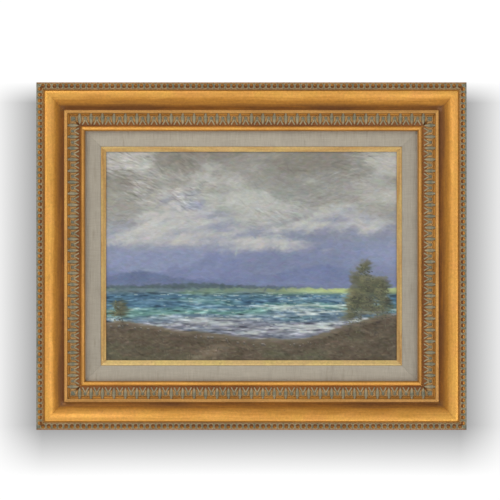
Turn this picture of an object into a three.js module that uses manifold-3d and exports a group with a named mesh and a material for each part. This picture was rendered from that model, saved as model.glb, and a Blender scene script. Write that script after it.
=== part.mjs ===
// A framed oil painting: a gilt moulding with an eyelet border and a leaf-and-dart border, a linen
// liner, a narrow gilt slip and a painted panel, with a sawtooth hanger on the back of the top rail.
// Millimetres, +Z up, the painting faces -Y. The origin is the middle notch of the hanger, on the
// plane of the frame's back.
import * as THREE from "three";
import { ConvexGeometry } from "three/addons/geometries/ConvexGeometry.js";
import { mergeVertices } from "three/addons/utils/BufferGeometryUtils.js";
import Module from "manifold-3d";

const wasm = await Module();
wasm.setup();

// Overall size of the frame
const frameWidth = 583;
const frameHeight = 471;

// Clearances
const mitreGap = 0.3; // between the two rails of a mitre
const seatGap = 0.3; // between a piece and the one it lies against
const linerPlay = 1.5; // between the liner and the rabbet of the frame
const slipPlay = 0.5; // between the slip and the rabbet of the liner
const panelPlay = 1.0; // between the panel and the rabbet of the liner

// Widths across the moulding, from the outer edge to the sight edge
const bandEdge = 2.6; // rounded outer edge of the eyelet band
const bandFlat = 5.4;
const bandFall = 2.2; // slope from the band into the quirk
const quirkWidth = 1.0;
const shoulderWidth = 3.4; // short rise from the quirk to the crest of the cove
const coveWidth = 22.2;
const coveCrown = 10; // how far the crest stays level before it falls
const coveFoot = 6.2; // how far the foot stays level before it rises
const grooveWidth = 0.6;
const filletWidth = 4.8;
const borderWidth = 16.3; // sloping ground of the leaf-and-dart border
const beadGap = 1.0;
const beadRadius = 2.6;
const sightMargin = 0.5; // flat between the bead and the sight edge
const rabbetWidth = 7.2;

// Heights of the moulding above its back
const bandHeight = 42;
const bandEdgeDrop = 3.4;
const quirkHeight = 38.2;
const crestHeight = 40.2;
const grooveHeight = 28;
const filletHeight = 33;
const filletRound = 0.6;
const borderOuterHeight = 28.4;
const borderInnerHeight = 24.4;
const beadCentreHeight = 24.8;
const lipHeight = 20; // underside of the lip that holds the liner

// Eyelets of the outer band
const eyeletPitch = 7.82;
const eyeletRadius = 2.05;
const eyeletDepth = 1.7;
const eyeletSides = 6;

// Leaf-and-dart border
const leafPitch = 15.4;
const dartWidth = 3.6;
const dartHeight = 2.6;
const dartMargin = 1.2; // between a dart's tips and the two edges of the border
const dartWidest = 5; // from the outer tip to the widest place
const dartRidgeInset = 2.4; // from each tip to the end of the ridge
const formRoot = 1.5; // how far a dart or a tongue reaches down into the rail
const tongueWidth = 9.2;
const tongueFootWidth = 7.4; // at the sight edge
const tongueMargin = 4.2; // between the fillet and the round end of a tongue
const tongueEdgeHeight = 0.9;
const tongueCrownHeight = 2.3;
const tongueCrownPlace = 4.6; // from the round end to the crown
const tongueEndPoints = 4;

// Liner
const linerFace = 20.9; // linen that shows inside the sight edge
const linerThickness = 14;
const linerFall = 1.0; // fall of the face towards the painting
const linerRound = 1.4; // rounded inner edge
const linerLipWidth = 3.8;
const linerLipThickness = 3.0;

// Slip
const slipFace = 7.0;
const slipThickness = 3.5;
const slipStep = 1.0; // flat beside the liner before the slip's bead
const slipBeadRise = 1.7;
const slipBeadWidth = 2.2;
const slipInnerHeight = 1.3;

// Panel
const panelThickness = 3.2;

// Hanger and its screws
const hookDrop = 30; // from the frame's top edge to the middle notch
const hangerLength = 46;
const hangerWidth = 9;
const hangerSheet = 1;
const hangerBow = 1.7; // free space behind the raised middle
const hangerFoot = 9; // flat end that holds the screw
const hangerRamp = 3;
const toothPitch = 3;
const toothDepth = 1.8;
const toothPoint = 0.5; // flat between two notches
const screwShankRadius = 1.2;
const screwShankLength = 9;
const screwHeadRadius = 2.7;
const screwHeadHeight = 1.4;
const screwHeadRound = 0.9;
const screwSides = 8;
const screwPlay = 0.3; // round the shank, in the hanger and in the rail

// Distances from the frame's outer edge
const quirkPlace = bandEdge + bandFlat + bandFall;
const shoulderPlace = quirkPlace + quirkWidth;
const crestPlace = shoulderPlace + shoulderWidth;
const groovePlace = crestPlace + coveWidth;
const filletPlace = groovePlace + grooveWidth;
const borderPlace = filletPlace + filletWidth;
const borderEnd = borderPlace + borderWidth;
const beadPlace = borderEnd + beadGap;
const sightEdge = beadPlace + 2 * beadRadius + sightMargin;
const frameRabbet = sightEdge - rabbetWidth;
const linerEdge = frameRabbet + linerPlay;
const linerInner = sightEdge + linerFace;
const linerRabbet = linerInner - linerLipWidth;
const slipEdge = linerRabbet + slipPlay;
const slipInner = linerInner + slipFace;
const panelEdge = linerRabbet + panelPlay;

// Heights above the frame's back
const linerTop = lipHeight - seatGap;
const linerBack = linerTop - linerThickness;
const linerInnerTop = linerTop - linerFall;
const linerLipUnderside = linerInnerTop - linerLipThickness;
const slipTop = linerLipUnderside - seatGap;
const slipBack = slipTop - slipThickness;
const panelTop = slipBack - seatGap;

// Joining and cutting

function solidFrom(geometry) {
  const bare = geometry.clone();
  bare.deleteAttribute("normal");
  bare.deleteAttribute("uv");
  const merged = mergeVertices(bare, 1e-4);
  return new wasm.Manifold(
    new wasm.Mesh({
      numProp: 3,
      vertProperties: new Float32Array(merged.attributes.position.array),
      triVerts: new Uint32Array(merged.index.array),
    }),
  );
}

function geometryFrom(solid) {
  const mesh = solid.getMesh();
  const corners = new Float32Array(mesh.numVert * 3);
  for (let i = 0; i < mesh.numVert; i++) {
    for (let axis = 0; axis < 3; axis++) {
      corners[3 * i + axis] = mesh.vertProperties[mesh.numProp * i + axis];
    }
  }
  const geometry = new THREE.BufferGeometry();
  geometry.setAttribute("position", new THREE.BufferAttribute(corners, 3));
  geometry.setIndex(new THREE.BufferAttribute(new Uint32Array(mesh.triVerts), 1));
  const flat = geometry.toNonIndexed();
  flat.computeVertexNormals();
  return flat;
}

function joinAll(solids) {
  return solids.reduce((whole, next) => whole.add(next));
}

// Rails. A rail's own axes are x along it, y inwards from the frame's outer edge and z towards
// the viewer, so one profile and one mitre rule serve all four sides.

function mitredRail(profile, length) {
  const shape = new THREE.Shape(profile.map(([inwards, height]) => new THREE.Vector2(inwards, height)));
  const geometry = new THREE.ExtrudeGeometry(shape, { depth: 1, steps: 1, bevelEnabled: false });
  const position = geometry.attributes.position;
  for (let i = 0; i < position.count; i++) {
    const inwards = position.getX(i);
    const height = position.getY(i);
    const end = position.getZ(i) > 0.5 ? 1 : -1;
    const half = length / 2 - inwards - mitreGap * Math.SQRT1_2;
    position.setXYZ(i, end * half, inwards, height);
  }
  return geometry;
}

// A profile is a list of places [distance inwards, height above the back], drawn anticlockwise

function curvePoints(curve, steps) {
  return curve.getPoints(steps).map((point) => [point.x, point.y]);
}

// A quarter round from one place to another, pulled towards the corner between them
function roundedCorner(start, corner, end, steps) {
  const [from, over, to] = [start, corner, end].map((place) => new THREE.Vector2(...place));
  return curvePoints(new THREE.QuadraticBezierCurve(from, over, to), steps);
}

function beadArc() {
  const centre = beadPlace + beadRadius;
  const arc = new THREE.EllipseCurve(centre, beadCentreHeight, beadRadius, beadRadius, 0, Math.PI);
  return curvePoints(arc, 6);
}

function coveCurve() {
  const curve = new THREE.CubicBezierCurve(
    new THREE.Vector2(groovePlace, grooveHeight),
    new THREE.Vector2(groovePlace - coveFoot, grooveHeight),
    new THREE.Vector2(crestPlace + coveCrown, crestHeight),
    new THREE.Vector2(crestPlace, crestHeight),
  );
  return curvePoints(curve, 8);
}

function mouldingProfile() {
  const beadFoot = beadCentreHeight - beadRadius / 2;
  const bandInner = bandEdge + bandFlat;
  return [
    [0, 0],
    [frameRabbet, 0],
    [frameRabbet, lipHeight],
    [sightEdge, lipHeight],
    [sightEdge, beadFoot],
    ...beadArc(),
    [beadPlace, beadFoot],
    [borderEnd, beadFoot],
    [borderEnd, borderInnerHeight],
    [borderPlace, borderOuterHeight],
    [borderPlace, filletHeight - filletRound],
    [borderPlace - filletRound, filletHeight],
    [filletPlace + filletRound, filletHeight],
    [filletPlace, filletHeight - filletRound],
    [filletPlace, grooveHeight],
    ...coveCurve(),
    ...roundedCorner(
      [crestPlace - shoulderWidth / 4, crestHeight],
      [shoulderPlace, crestHeight],
      [shoulderPlace, quirkHeight],
      3,
    ),
    [quirkPlace, quirkHeight],
    [bandInner, bandHeight],
    ...roundedCorner([bandEdge, bandHeight], [0, bandHeight], [0, bandHeight - bandEdgeDrop], 3),
  ];
}

function linerProfile() {
  return [
    [linerEdge, linerBack],
    [linerRabbet, linerBack],
    [linerRabbet, linerLipUnderside],
    [linerInner, linerLipUnderside],
    ...roundedCorner(
      [linerInner, linerInnerTop - linerRound],
      [linerInner, linerInnerTop],
      [linerInner - linerRound, linerInnerTop],
      3,
    ),
    [sightEdge, linerTop],
    [linerEdge, linerTop],
  ];
}

function slipProfile() {
  const beadStart = linerInner + slipStep;
  const beadTop = slipTop + slipBeadRise;
  return [
    [slipEdge, slipBack],
    [slipInner, slipBack],
    [slipInner, slipBack + slipInnerHeight],
    ...roundedCorner(
      [beadStart + slipBeadWidth, beadTop],
      [beadStart, beadTop],
      [beadStart, slipTop],
      4,
    ),
    [slipEdge, slipTop],
  ];
}

// Ornament on the frame's rails, in a rail's own axes

function placesAlong(count, pitch) {
  return Array.from({ length: count }, (_, i) => (i - (count - 1) / 2) * pitch);
}

function eyeletCut(along) {
  const centre = bandEdge + bandFlat / 2;
  const points = [new THREE.Vector3(along, centre, bandHeight - eyeletDepth)];
  for (let side = 0; side < eyeletSides; side++) {
    const angle = (2 * Math.PI * side) / eyeletSides;
    const x = along + eyeletRadius * Math.cos(angle);
    const y = centre + eyeletRadius * Math.sin(angle);
    points.push(new THREE.Vector3(x, y, bandHeight));
    points.push(new THREE.Vector3(x, y, bandHeight + eyeletDepth));
  }
  return solidFrom(new ConvexGeometry(points));
}

function borderHeightAt(inwards) {
  const share = (inwards - borderPlace) / borderWidth;
  return borderOuterHeight + share * (borderInnerHeight - borderOuterHeight);
}

// A place on the border, raised above its sloping ground
function onBorder(along, inwards, raise) {
  return new THREE.Vector3(along, inwards, borderHeightAt(inwards) + raise);
}

// A raised form given by its outline on the ground and its crowning points
function raisedForm(outline, edgeHeight, crown) {
  const points = [...crown];
  for (const [along, inwards] of outline) {
    points.push(onBorder(along, inwards, edgeHeight));
    points.push(onBorder(along, inwards, -formRoot));
  }
  return solidFrom(new ConvexGeometry(points));
}

function dartForm(along) {
  const outerTip = borderPlace + dartMargin;
  const innerTip = borderEnd - dartMargin;
  const widest = outerTip + dartWidest;
  const outline = [
    [along, outerTip],
    [along + dartWidth / 2, widest],
    [along, innerTip],
    [along - dartWidth / 2, widest],
  ];
  const crown = [
    onBorder(along, outerTip + dartRidgeInset, dartHeight),
    onBorder(along, innerTip - dartRidgeInset, dartHeight / 2),
  ];
  return raisedForm(outline, 0, crown);
}

function tongueForm(along) {
  const half = tongueWidth / 2;
  const roundEnd = borderPlace + tongueMargin;
  const squareEnd = borderEnd - dartMargin;
  const outline = [
    [along - tongueFootWidth / 2, squareEnd],
    [along + tongueFootWidth / 2, squareEnd],
  ];
  for (let point = 0; point < tongueEndPoints; point++) {
    const angle = (Math.PI * point) / (tongueEndPoints - 1);
    const x = along + half * Math.cos(angle);
    outline.push([x, roundEnd + half * (1 - Math.sin(angle))]);
  }
  const crown = [onBorder(along, roundEnd + tongueCrownPlace, tongueCrownHeight)];
  return raisedForm(outline, tongueEdgeHeight, crown);
}

function mouldedRail(length) {
  const eyeletRun = length - 2 * bandEdge - bandFlat;
  const eyeletCount = Math.round(eyeletRun / eyeletPitch);
  const eyelets = placesAlong(eyeletCount, eyeletRun / eyeletCount).map(eyeletCut);

  const borderRun = length - 2 * borderPlace - borderWidth;
  const dartCount = Math.round(borderRun / leafPitch);
  const dartSpacing = borderRun / dartCount;
  const darts = placesAlong(dartCount, dartSpacing).map(dartForm);
  const tongues = placesAlong(dartCount - 1, dartSpacing).map(tongueForm);

  const rail = solidFrom(mitredRail(mouldingProfile(), length));
  return rail.add(joinAll([...darts, ...tongues])).subtract(joinAll(eyelets));
}

// Hanger and screws, in the frame's own axes with the middle notch at the origin

const footPlace = hangerLength / 2 - hangerFoot / 2;
const hangerMiddle = hangerWidth / 2 - toothDepth;
const screwPlaces = [-footPlace, footPlace];

function hangerOutline() {
  const half = hangerLength / 2;
  const footEnd = half - hangerFoot;
  const bowEnd = footEnd - hangerRamp;
  const bowed = seatGap + hangerBow;
  const inner = [
    [-half, seatGap],
    [-footEnd, seatGap],
    [-bowEnd, bowed],
    [bowEnd, bowed],
    [footEnd, seatGap],
    [half, seatGap],
  ];
  const outer = inner.map(([x, y]) => [x, y + hangerSheet]).reverse();
  return new THREE.Shape([...inner, ...outer].map(([x, y]) => new THREE.Vector2(x, y)));
}

function notchCut(x) {
  const mouth = (toothPitch - toothPoint) / 2;
  const points = [];
  for (const y of [0, seatGap + hangerBow + 2 * hangerSheet]) {
    points.push(new THREE.Vector3(x, y, 0));
    points.push(new THREE.Vector3(x - mouth, y, -toothDepth));
    points.push(new THREE.Vector3(x - mouth, y, -2 * toothDepth));
    points.push(new THREE.Vector3(x + mouth, y, -2 * toothDepth));
    points.push(new THREE.Vector3(x + mouth, y, -toothDepth));
  }
  return solidFrom(new ConvexGeometry(points));
}

// A round cut for a screw's shank, from one depth to another along +Y
function shankCut(from, to) {
  const radius = screwShankRadius + screwPlay;
  const bar = new THREE.CylinderGeometry(radius, radius, to - from, screwSides);
  return bar.translate(0, (from + to) / 2, 0);
}

function hangerGeometry() {
  const strip = new THREE.ExtrudeGeometry(hangerOutline(), {
    depth: hangerWidth,
    bevelEnabled: false,
  });
  strip.translate(0, 0, -toothDepth);
  const teethRun = hangerLength - 2 * (hangerFoot + hangerRamp);
  const notchCount = 2 * Math.floor(teethRun / toothPitch / 2) - 1;
  const notches = placesAlong(notchCount, toothPitch).map(notchCut);
  const holes = screwPlaces.map((x) =>
    solidFrom(shankCut(0, seatGap + 2 * hangerSheet).translate(x, 0, hangerMiddle)),
  );
  return geometryFrom(solidFrom(strip).subtract(joinAll([...notches, ...holes])));
}

function screwGeometry() {
  const headBase = 2 * seatGap + hangerSheet;
  const top = headBase + screwHeadHeight;
  const points = [
    [0, -screwShankLength],
    [screwShankRadius, -screwShankLength + screwShankRadius],
    [screwShankRadius, headBase],
    [screwHeadRadius, headBase],
    [screwHeadRadius, top - screwHeadRound],
    [screwHeadRadius - screwHeadRound, top],
    [0, top],
  ];
  return new THREE.LatheGeometry(points.map(([x, y]) => new THREE.Vector2(x, y)), screwSides);
}

// The top rail with the screws' pilot holes, which run up from its back in a rail's own axes
function withPilotHoles(rail) {
  const holes = screwPlaces.map((x) => {
    const hole = shankCut(-seatGap, screwShankLength + screwPlay).rotateX(Math.PI / 2);
    return solidFrom(hole.translate(x, hookDrop - hangerMiddle, 0));
  });
  return rail.subtract(joinAll(holes));
}

// Colours and finishes

function finish(color, roughness, metalness) {
  return new THREE.MeshStandardMaterial({ color, roughness, metalness });
}

const giltMoulding = () => finish(0xb08048, 0.45, 0.5);
const linenCover = () => finish(0xa9a08f, 0.95, 0);
const giltSlip = () => finish(0xc0985c, 0.4, 0.6);
const oilPaint = () => finish(0x8d9086, 0.5, 0);
const platedSteel = () => finish(0xb9b3a0, 0.35, 0.9);

function namedMesh(name, geometry, material) {
  const mesh = new THREE.Mesh(geometry, material);
  mesh.name = name;
  return mesh;
}

// The four sides, each turned about the frame's centre
const sides = [
  { name: "bottom", turn: 0, length: frameWidth, reach: frameHeight / 2 },
  { name: "right", turn: -Math.PI / 2, length: frameHeight, reach: frameWidth / 2 },
  { name: "top", turn: Math.PI, length: frameWidth, reach: frameHeight / 2 },
  { name: "left", turn: Math.PI / 2, length: frameHeight, reach: frameWidth / 2 },
];

function placedRail(name, geometry, material, side) {
  const rail = namedMesh(name + "_" + side.name, geometry, material);
  rail.position.z = -side.reach;
  rail.rotation.x = Math.PI / 2;
  const turned = new THREE.Group();
  turned.rotation.y = side.turn;
  turned.add(rail);
  return turned;
}

const picture = new THREE.Group();
picture.position.z = hookDrop - frameHeight / 2;

for (const side of sides) {
  const plain = mouldedRail(side.length);
  const rail = side.name === "top" ? withPilotHoles(plain) : plain;
  picture.add(placedRail("frame_rail", geometryFrom(rail), giltMoulding(), side));
  const liner = mitredRail(linerProfile(), side.length);
  picture.add(placedRail("liner_rail", liner, linenCover(), side));
  const slip = mitredRail(slipProfile(), side.length);
  picture.add(placedRail("slip_rail", slip, giltSlip(), side));
}

const panel = namedMesh(
  "painted_panel",
  new THREE.BoxGeometry(
    frameWidth - 2 * panelEdge,
    panelThickness,
    frameHeight - 2 * panelEdge,
  ),
  oilPaint(),
);
panel.position.y = -(panelTop - panelThickness / 2);
picture.add(panel);

const part = new THREE.Group();
part.add(picture);
part.add(namedMesh("sawtooth_hanger", hangerGeometry(), platedSteel()));
for (const x of screwPlaces) {
  const name = x < 0 ? "hanger_screw_left" : "hanger_screw_right";
  const screw = namedMesh(name, screwGeometry(), platedSteel());
  screw.position.set(x, 0, hangerMiddle);
  part.add(screw);
}

export default part;
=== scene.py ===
"""A framed oil painting: gilt moulding, linen liner, gilt slip and painted board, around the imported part."""

import math

import bmesh
import bpy
import numpy as np
from bpy.props import FloatProperty, FloatVectorProperty, IntProperty, PointerProperty
from mathutils import Matrix, Vector


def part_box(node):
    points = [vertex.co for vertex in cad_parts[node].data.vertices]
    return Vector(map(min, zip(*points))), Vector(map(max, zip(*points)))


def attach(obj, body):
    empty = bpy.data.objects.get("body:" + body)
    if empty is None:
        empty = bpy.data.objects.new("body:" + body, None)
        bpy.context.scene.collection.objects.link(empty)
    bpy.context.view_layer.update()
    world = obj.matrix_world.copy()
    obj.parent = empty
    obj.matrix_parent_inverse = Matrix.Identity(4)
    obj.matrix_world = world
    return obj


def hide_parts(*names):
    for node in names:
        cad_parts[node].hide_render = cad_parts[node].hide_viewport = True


bl_info = {
    "name": "Framed oil painting",
    "version": (1, 0, 0),
    "blender": (4, 5, 0),
    "location": "View3D > Sidebar > Painting",
    "description": "Makes a framed painting: gilt rails, linen liner, gilt slip and painted board",
    "category": "Object",
}

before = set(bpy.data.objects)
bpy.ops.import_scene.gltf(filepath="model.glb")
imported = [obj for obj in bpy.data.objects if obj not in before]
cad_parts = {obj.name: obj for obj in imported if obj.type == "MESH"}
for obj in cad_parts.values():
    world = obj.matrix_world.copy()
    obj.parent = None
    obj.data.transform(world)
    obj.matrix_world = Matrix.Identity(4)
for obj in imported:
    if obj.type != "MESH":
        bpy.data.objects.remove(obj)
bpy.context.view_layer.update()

MM = 0.001
PICTURE_PIXELS = 500
OBJECT_PIXEL = (251.45, 256.1)  # where the middle of the frame stands in the photograph
SHADOW_SIDES = (263, 208)  # pixels aside from the frame's middle where its shadow ends and where it is full
SHADOW_FOOT = (477, 424)  # rows of the picture where the shadow below the frame ends and where it is full
SHADOW_HEAD = (82, 104)  # rows where the shadow beside the frame's top ends and where it is full
WALL_RADIUS = 7.0
WALL_HEIGHT = 7.5
WALL_LIGHT = 1.02  # what the backdrop gives off straight behind the frame
FLOOR_DROP = 1.6
FLOOR_HALF = 9.0
LIGHT_SIZE = 1.3
SIDE_TURNS = {"bottom": 0.0, "right": -math.pi / 2, "top": math.pi, "left": math.pi / 2}


def node_span(node):
    """The lowest and highest corners of a CAD node, in millimetres."""
    low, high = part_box(node)
    return np.array(low) / MM, np.array(high) / MM


OUTER_LOW = np.minimum(node_span("frame_rail_left")[0], node_span("frame_rail_bottom")[0])
OUTER_HIGH = np.maximum(node_span("frame_rail_right")[1], node_span("frame_rail_top")[1])
CENTRE = (OUTER_LOW + OUTER_HIGH) / 2
OUTER_WIDTH = OUTER_HIGH[0] - OUTER_LOW[0]
OUTER_HEIGHT = OUTER_HIGH[2] - OUTER_LOW[2]


def by_side(side, upright, level):
    """The first value for the left and right rails, the second for the top and bottom ones."""
    return upright if side in ("left", "right") else level


def rail_length(side):
    """The length of a side of the frame along its outer edge, in millimetres."""
    return by_side(side, OUTER_HEIGHT, OUTER_WIDTH)


def rail_reach(side):
    """How far a side's outer edge lies from the centre of the frame, in millimetres."""
    return by_side(side, OUTER_WIDTH, OUTER_HEIGHT) / 2


# Sizes and colours that a user would change. Lengths are in metres.


def length(name, default, description):
    return FloatProperty(name=name, default=default, description=description, unit="LENGTH", precision=4)


def share(name, default, description):
    return FloatProperty(name=name, default=default, description=description, subtype="FACTOR", min=0, max=1)


def colour(name, default, description):
    return FloatVectorProperty(name=name, default=default, description=description, subtype="COLOR", size=3)


class MouldingSizes(bpy.types.PropertyGroup):
    """The frame's moulding, from its outer edge inwards."""

    mitre_gap: length("Mitre gap", 0.00012, "Gap between two rails at a mitre")
    band_edge: length("Band edge", 0.0026, "Rounded outer edge of the eyelet band")
    band_flat: length("Band flat", 0.0054, "Width of the eyelet band's top")
    band_fall: length("Band fall", 0.0022, "Slope from the band into the quirk")
    quirk_width: length("Quirk width", 0.0010, "Narrow channel inside the eyelet band")
    shoulder_width: length("Shoulder width", 0.0034, "Rise from the quirk to the crest of the cove")
    cove_width: length("Cove width", 0.0222, "From the crest to the groove at the foot of the cove")
    cove_crown: length("Cove crown", 0.0100, "How far the crest stays level before it falls")
    cove_foot: length("Cove foot", 0.0062, "How far the foot stays level before it rises")
    groove_width: length("Groove width", 0.0006, "Flat at the foot of the cove")
    fillet_width: length("Fillet width", 0.0042, "Raised flat between the cove and the border")
    border_width: length("Border width", 0.0169, "Ground of the leaf-and-dart border")
    bead_gap: length("Bead gap", 0.0010, "Channel beside the sight bead")
    bead_radius: length("Bead radius", 0.0026, "Half the width of the sight bead")
    sight_margin: length("Sight margin", 0.0005, "Flat between the bead and the sight edge")
    rabbet_width: length("Rabbet width", 0.0072, "Lip that covers the liner's edge")
    band_height: length("Band height", 0.0420, "Height of the eyelet band above the back")
    band_drop: length("Band drop", 0.0034, "Fall of the band's rounded outer edge")
    quirk_height: length("Quirk height", 0.0382, "Height of the quirk above the back")
    crest_height: length("Crest height", 0.0402, "Height of the cove's crest")
    groove_height: length("Groove height", 0.0280, "Height of the cove's foot")
    fillet_height: length("Fillet height", 0.0330, "Height of the fillet")
    border_outer: length("Border outer height", 0.0284, "Border ground beside the fillet")
    border_inner: length("Border inner height", 0.0244, "Border ground beside the bead")
    bead_centre: length("Bead centre height", 0.0248, "Height of the bead's centre")
    lip_height: length("Lip height", 0.0200, "Underside of the lip that covers the liner")


class OrnamentSizes(bpy.types.PropertyGroup):
    """The eyelets and the leaf-and-dart pattern."""

    eyelet_pitch: length("Eyelet pitch", 0.00782, "Distance from one eyelet to the next")
    eyelet_radius: length("Eyelet radius", 0.0027, "Radius of an eyelet's pit")
    eyelet_depth: length("Eyelet depth", 0.0019, "Depth of an eyelet's pit")
    leaf_pitch: length("Leaf pitch", 0.0154, "Distance from one dart to the next")
    dart_width: length("Dart width", 0.0052, "Greatest width of a dart")
    dart_height: length("Dart height", 0.0024, "Height of a dart above the ground")
    drop_height: length("Drop height", 0.0021, "Height of the drop between two darts")
    leg_height: length("Leg height", 0.0015, "Height of the two legs that spread from a drop")
    arch_height: length("Arch height", 0.0012, "Height of the arch around a drop")
    unevenness: length("Unevenness", 0.00022, "How far the cast surface wavers")
    seed: IntProperty(name="Seed", default=7, description="Seed of the wavering surface")


class LinerSizes(bpy.types.PropertyGroup):
    """The linen liner, the gilt slip and the board."""

    liner_play: length("Liner play", 0.0015, "Gap between the liner and the frame's rabbet")
    linen_face: length("Linen face", 0.0209, "Linen that shows inside the sight edge")
    liner_fall: length("Liner fall", 0.0010, "Fall of the linen towards the painting")
    liner_round: length("Liner round", 0.0008, "Rounding of the liner's inner edge")
    liner_lip: length("Liner lip", 0.0038, "Lip that covers the slip")
    liner_lip_thickness: length("Liner lip thickness", 0.0030, "Thickness of that lip")
    slip_play: length("Slip play", 0.0005, "Gap between the slip and the liner's rabbet")
    slip_face: length("Slip face", 0.0070, "Gilt that shows inside the liner")
    slip_thickness: length("Slip thickness", 0.0035, "Thickness of the slip beside the liner")
    slip_step: length("Slip step", 0.0001, "Flat beside the liner before the slip's bead")
    slip_rise: length("Slip rise", 0.0026, "Rise of the slip's bead")
    slip_bead: length("Slip bead", 0.0022, "Width of the slip's bead")
    slip_edge: length("Slip edge", 0.0013, "Thickness of the slip's inner edge")
    seat_gap: length("Seat gap", 0.0003, "Gap between pieces that lie on each other")


class FinishColours(bpy.types.PropertyGroup):
    """Colours of the gilding, the linen and the wood."""

    gilt: colour("Gilt", (0.87, 0.415, 0.100), "Burnished gilding")
    # Deep gilt, deep slip gilt and umber are the darker steps of the brown wash on the gilding. That wash also
    # paints shade: in the hollows, towards the cove's foot and on the darker sides.
    gilt_deep: colour("Deep gilt", (0.53, 0.235, 0.033), "Gilding under a thin umber wash")
    umber: colour("Umber", (0.180, 0.067, 0.012), "Umber wash in the hollows")
    bole: colour("Bole", (0.145, 0.038, 0.009), "Red-brown clay that shows through")
    patina: colour("Patina", (0.112, 0.140, 0.106), "Grey-green wash on the raised ornament")
    patina_pale: colour("Pale patina", (0.40, 0.34, 0.21), "Rubbed tops of the grey-green ornament")
    slip_gilt: colour("Slip gilt", (0.79, 0.555, 0.240), "Paler gilding of the slip")
    slip_deep: colour("Deep slip gilt", (0.525, 0.290, 0.095), "Slip gilding under a thin wash")
    linen: colour("Linen", (0.412, 0.371, 0.300), "Natural linen")
    linen_dark: colour("Dark thread", (0.27, 0.235, 0.175), "Darker flecks in the linen")
    bare_wood: colour("Bare wood", (0.36, 0.22, 0.115), "Unfinished wood at the back")
    board: colour("Board", (0.16, 0.10, 0.055), "Back of the painted board")
    steel: colour("Plated steel", (0.60, 0.50, 0.32), "Brass-toned plating of the hanger")


class PaintingLook(bpy.types.PropertyGroup):
    """The painted scene."""

    seed: IntProperty(name="Seed", default=31, description="Seed of the clouds and the brush strokes")
    strokes: IntProperty(name="Strokes", default=15000, description="Number of brush strokes", min=0)
    impasto: length("Impasto", 0.00022, "Height of the thickest paint")
    far_shore: share("Far shore", 0.655, "Height of the far shore, from the top edge")
    near_bank: share("Near bank", 0.845, "Height of the near bank, from the top edge")


class StageLook(bpy.types.PropertyGroup):
    """Camera, lights and floor."""

    view_width: length("View width", 0.6768, "Width that the picture spans at the frame")
    lens: FloatProperty(name="Lens", default=170, description="Focal length in millimetres")
    key: FloatProperty(name="Key light", default=24, description="Power of the light above, in watts")
    fill: FloatProperty(name="Fill light", default=13, description="Power of the light below, in watts")
    ambient: FloatProperty(name="Ambient", default=0.52, description="Strength of the even light all round")
    shadow: share("Shadow", 0.35, "Depth of the soft shadow on the backdrop")


def settings(name):
    return getattr(bpy.context.scene, name)


def millimetres(group):
    """The lengths of a property group as a plain namespace in millimetres."""
    values = {}
    for key in type(group).__annotations__:
        value = getattr(group, key)
        values[key] = value / MM if isinstance(value, float) else value
    return type("Sizes", (), values)


# Small helpers for curves and falloffs


def smooth(start, end, value):
    """A soft step from 0 at start to 1 at end. Start may be the greater one."""
    part = np.clip((value - start) / (end - start), 0, 1)
    return part * part * (3 - 2 * part)


def round_ridge(distance, half_width, height):
    """A half-round section: full height on its line, nothing past its half width."""
    return height * np.sqrt(np.clip(1 - (distance / half_width) ** 2, 0, 1))


def distance_to_line(x, y, start, end):
    start, end = np.array(start), np.array(end)
    along = end - start
    t = ((x - start[0]) * along[0] + (y - start[1]) * along[1]) / (along @ along)
    t = np.clip(t, 0, 1)
    return np.hypot(x - start[0] - t * along[0], y - start[1] - t * along[1])


def quarter(start, corner, end, steps):
    """Points of a rounded corner, from start to end, pulled towards the corner."""
    t = np.linspace(0, 1, steps + 1)[:, None]
    a, b, c = np.array(start), np.array(corner), np.array(end)
    curve = (1 - t) ** 2 * a + 2 * t * (1 - t) * b + t * t * c
    return [tuple(place) for place in curve]


def rounded(corner, before, after, steps):
    """Points of a rounded corner that starts and ends at the given offsets from it."""
    corner = np.array(corner)
    return quarter(corner + before, corner, corner + after, steps)


def cubic(start, pull_start, pull_end, end, steps):
    """Points of a curve from start to end, which leaves and reaches them towards the two pulls."""
    t = np.linspace(0, 1, steps + 1)[:, None]
    a, b, c, d = (np.array(place) for place in (start, pull_start, pull_end, end))
    curve = (1 - t) ** 3 * a + 3 * t * (1 - t) ** 2 * b + 3 * t * t * (1 - t) * c + t**3 * d
    return [tuple(place) for place in curve]


# Distances across the moulding and heights of what it holds, from the sizes


class Section:
    """Places across the frame, from its outer edge inwards, and heights above its back, in millimetres."""

    def __init__(self):
        moulding = millimetres(settings("moulding_sizes"))
        liner = millimetres(settings("liner_sizes"))
        self.moulding = moulding
        self.liner = liner
        self.quirk = moulding.band_edge + moulding.band_flat + moulding.band_fall
        self.shoulder = self.quirk + moulding.quirk_width
        self.crest = self.shoulder + moulding.shoulder_width
        self.groove = self.crest + moulding.cove_width
        self.fillet = self.groove + moulding.groove_width
        self.border = self.fillet + moulding.fillet_width
        self.border_end = self.border + moulding.border_width
        self.bead = self.border_end + moulding.bead_gap
        self.sight = self.bead + 2 * moulding.bead_radius + moulding.sight_margin
        self.rabbet = self.sight - moulding.rabbet_width
        self.liner_outer = self.rabbet + liner.liner_play
        self.liner_inner = self.sight + liner.linen_face
        self.liner_rabbet = self.liner_inner - liner.liner_lip
        self.slip_outer = self.liner_rabbet + liner.slip_play
        self.slip_inner = self.liner_inner + liner.slip_face
        self.liner_top = moulding.lip_height - liner.seat_gap
        self.liner_back = -node_span("liner_rail_top")[1][1]
        self.liner_inner_top = self.liner_top - liner.liner_fall
        self.lip_underside = self.liner_inner_top - liner.liner_lip_thickness
        self.slip_top = self.lip_underside - liner.seat_gap
        self.slip_back = self.slip_top - liner.slip_thickness


# Meshes of rails. A rail's own axes are x along it, y inwards and z towards the viewer.

BACK_SCALE = 0.35  # share of texture room that hidden faces get
BACK_ONLY = {0}  # the first edge of a rail's profile, which is bare wood
BACK_AND_RABBET = {0, 1, 2}  # the first three, where a rail has a rabbet
TILE_DEPTH = 1.6  # how far an ornament's tile reaches below its lowest place


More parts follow.
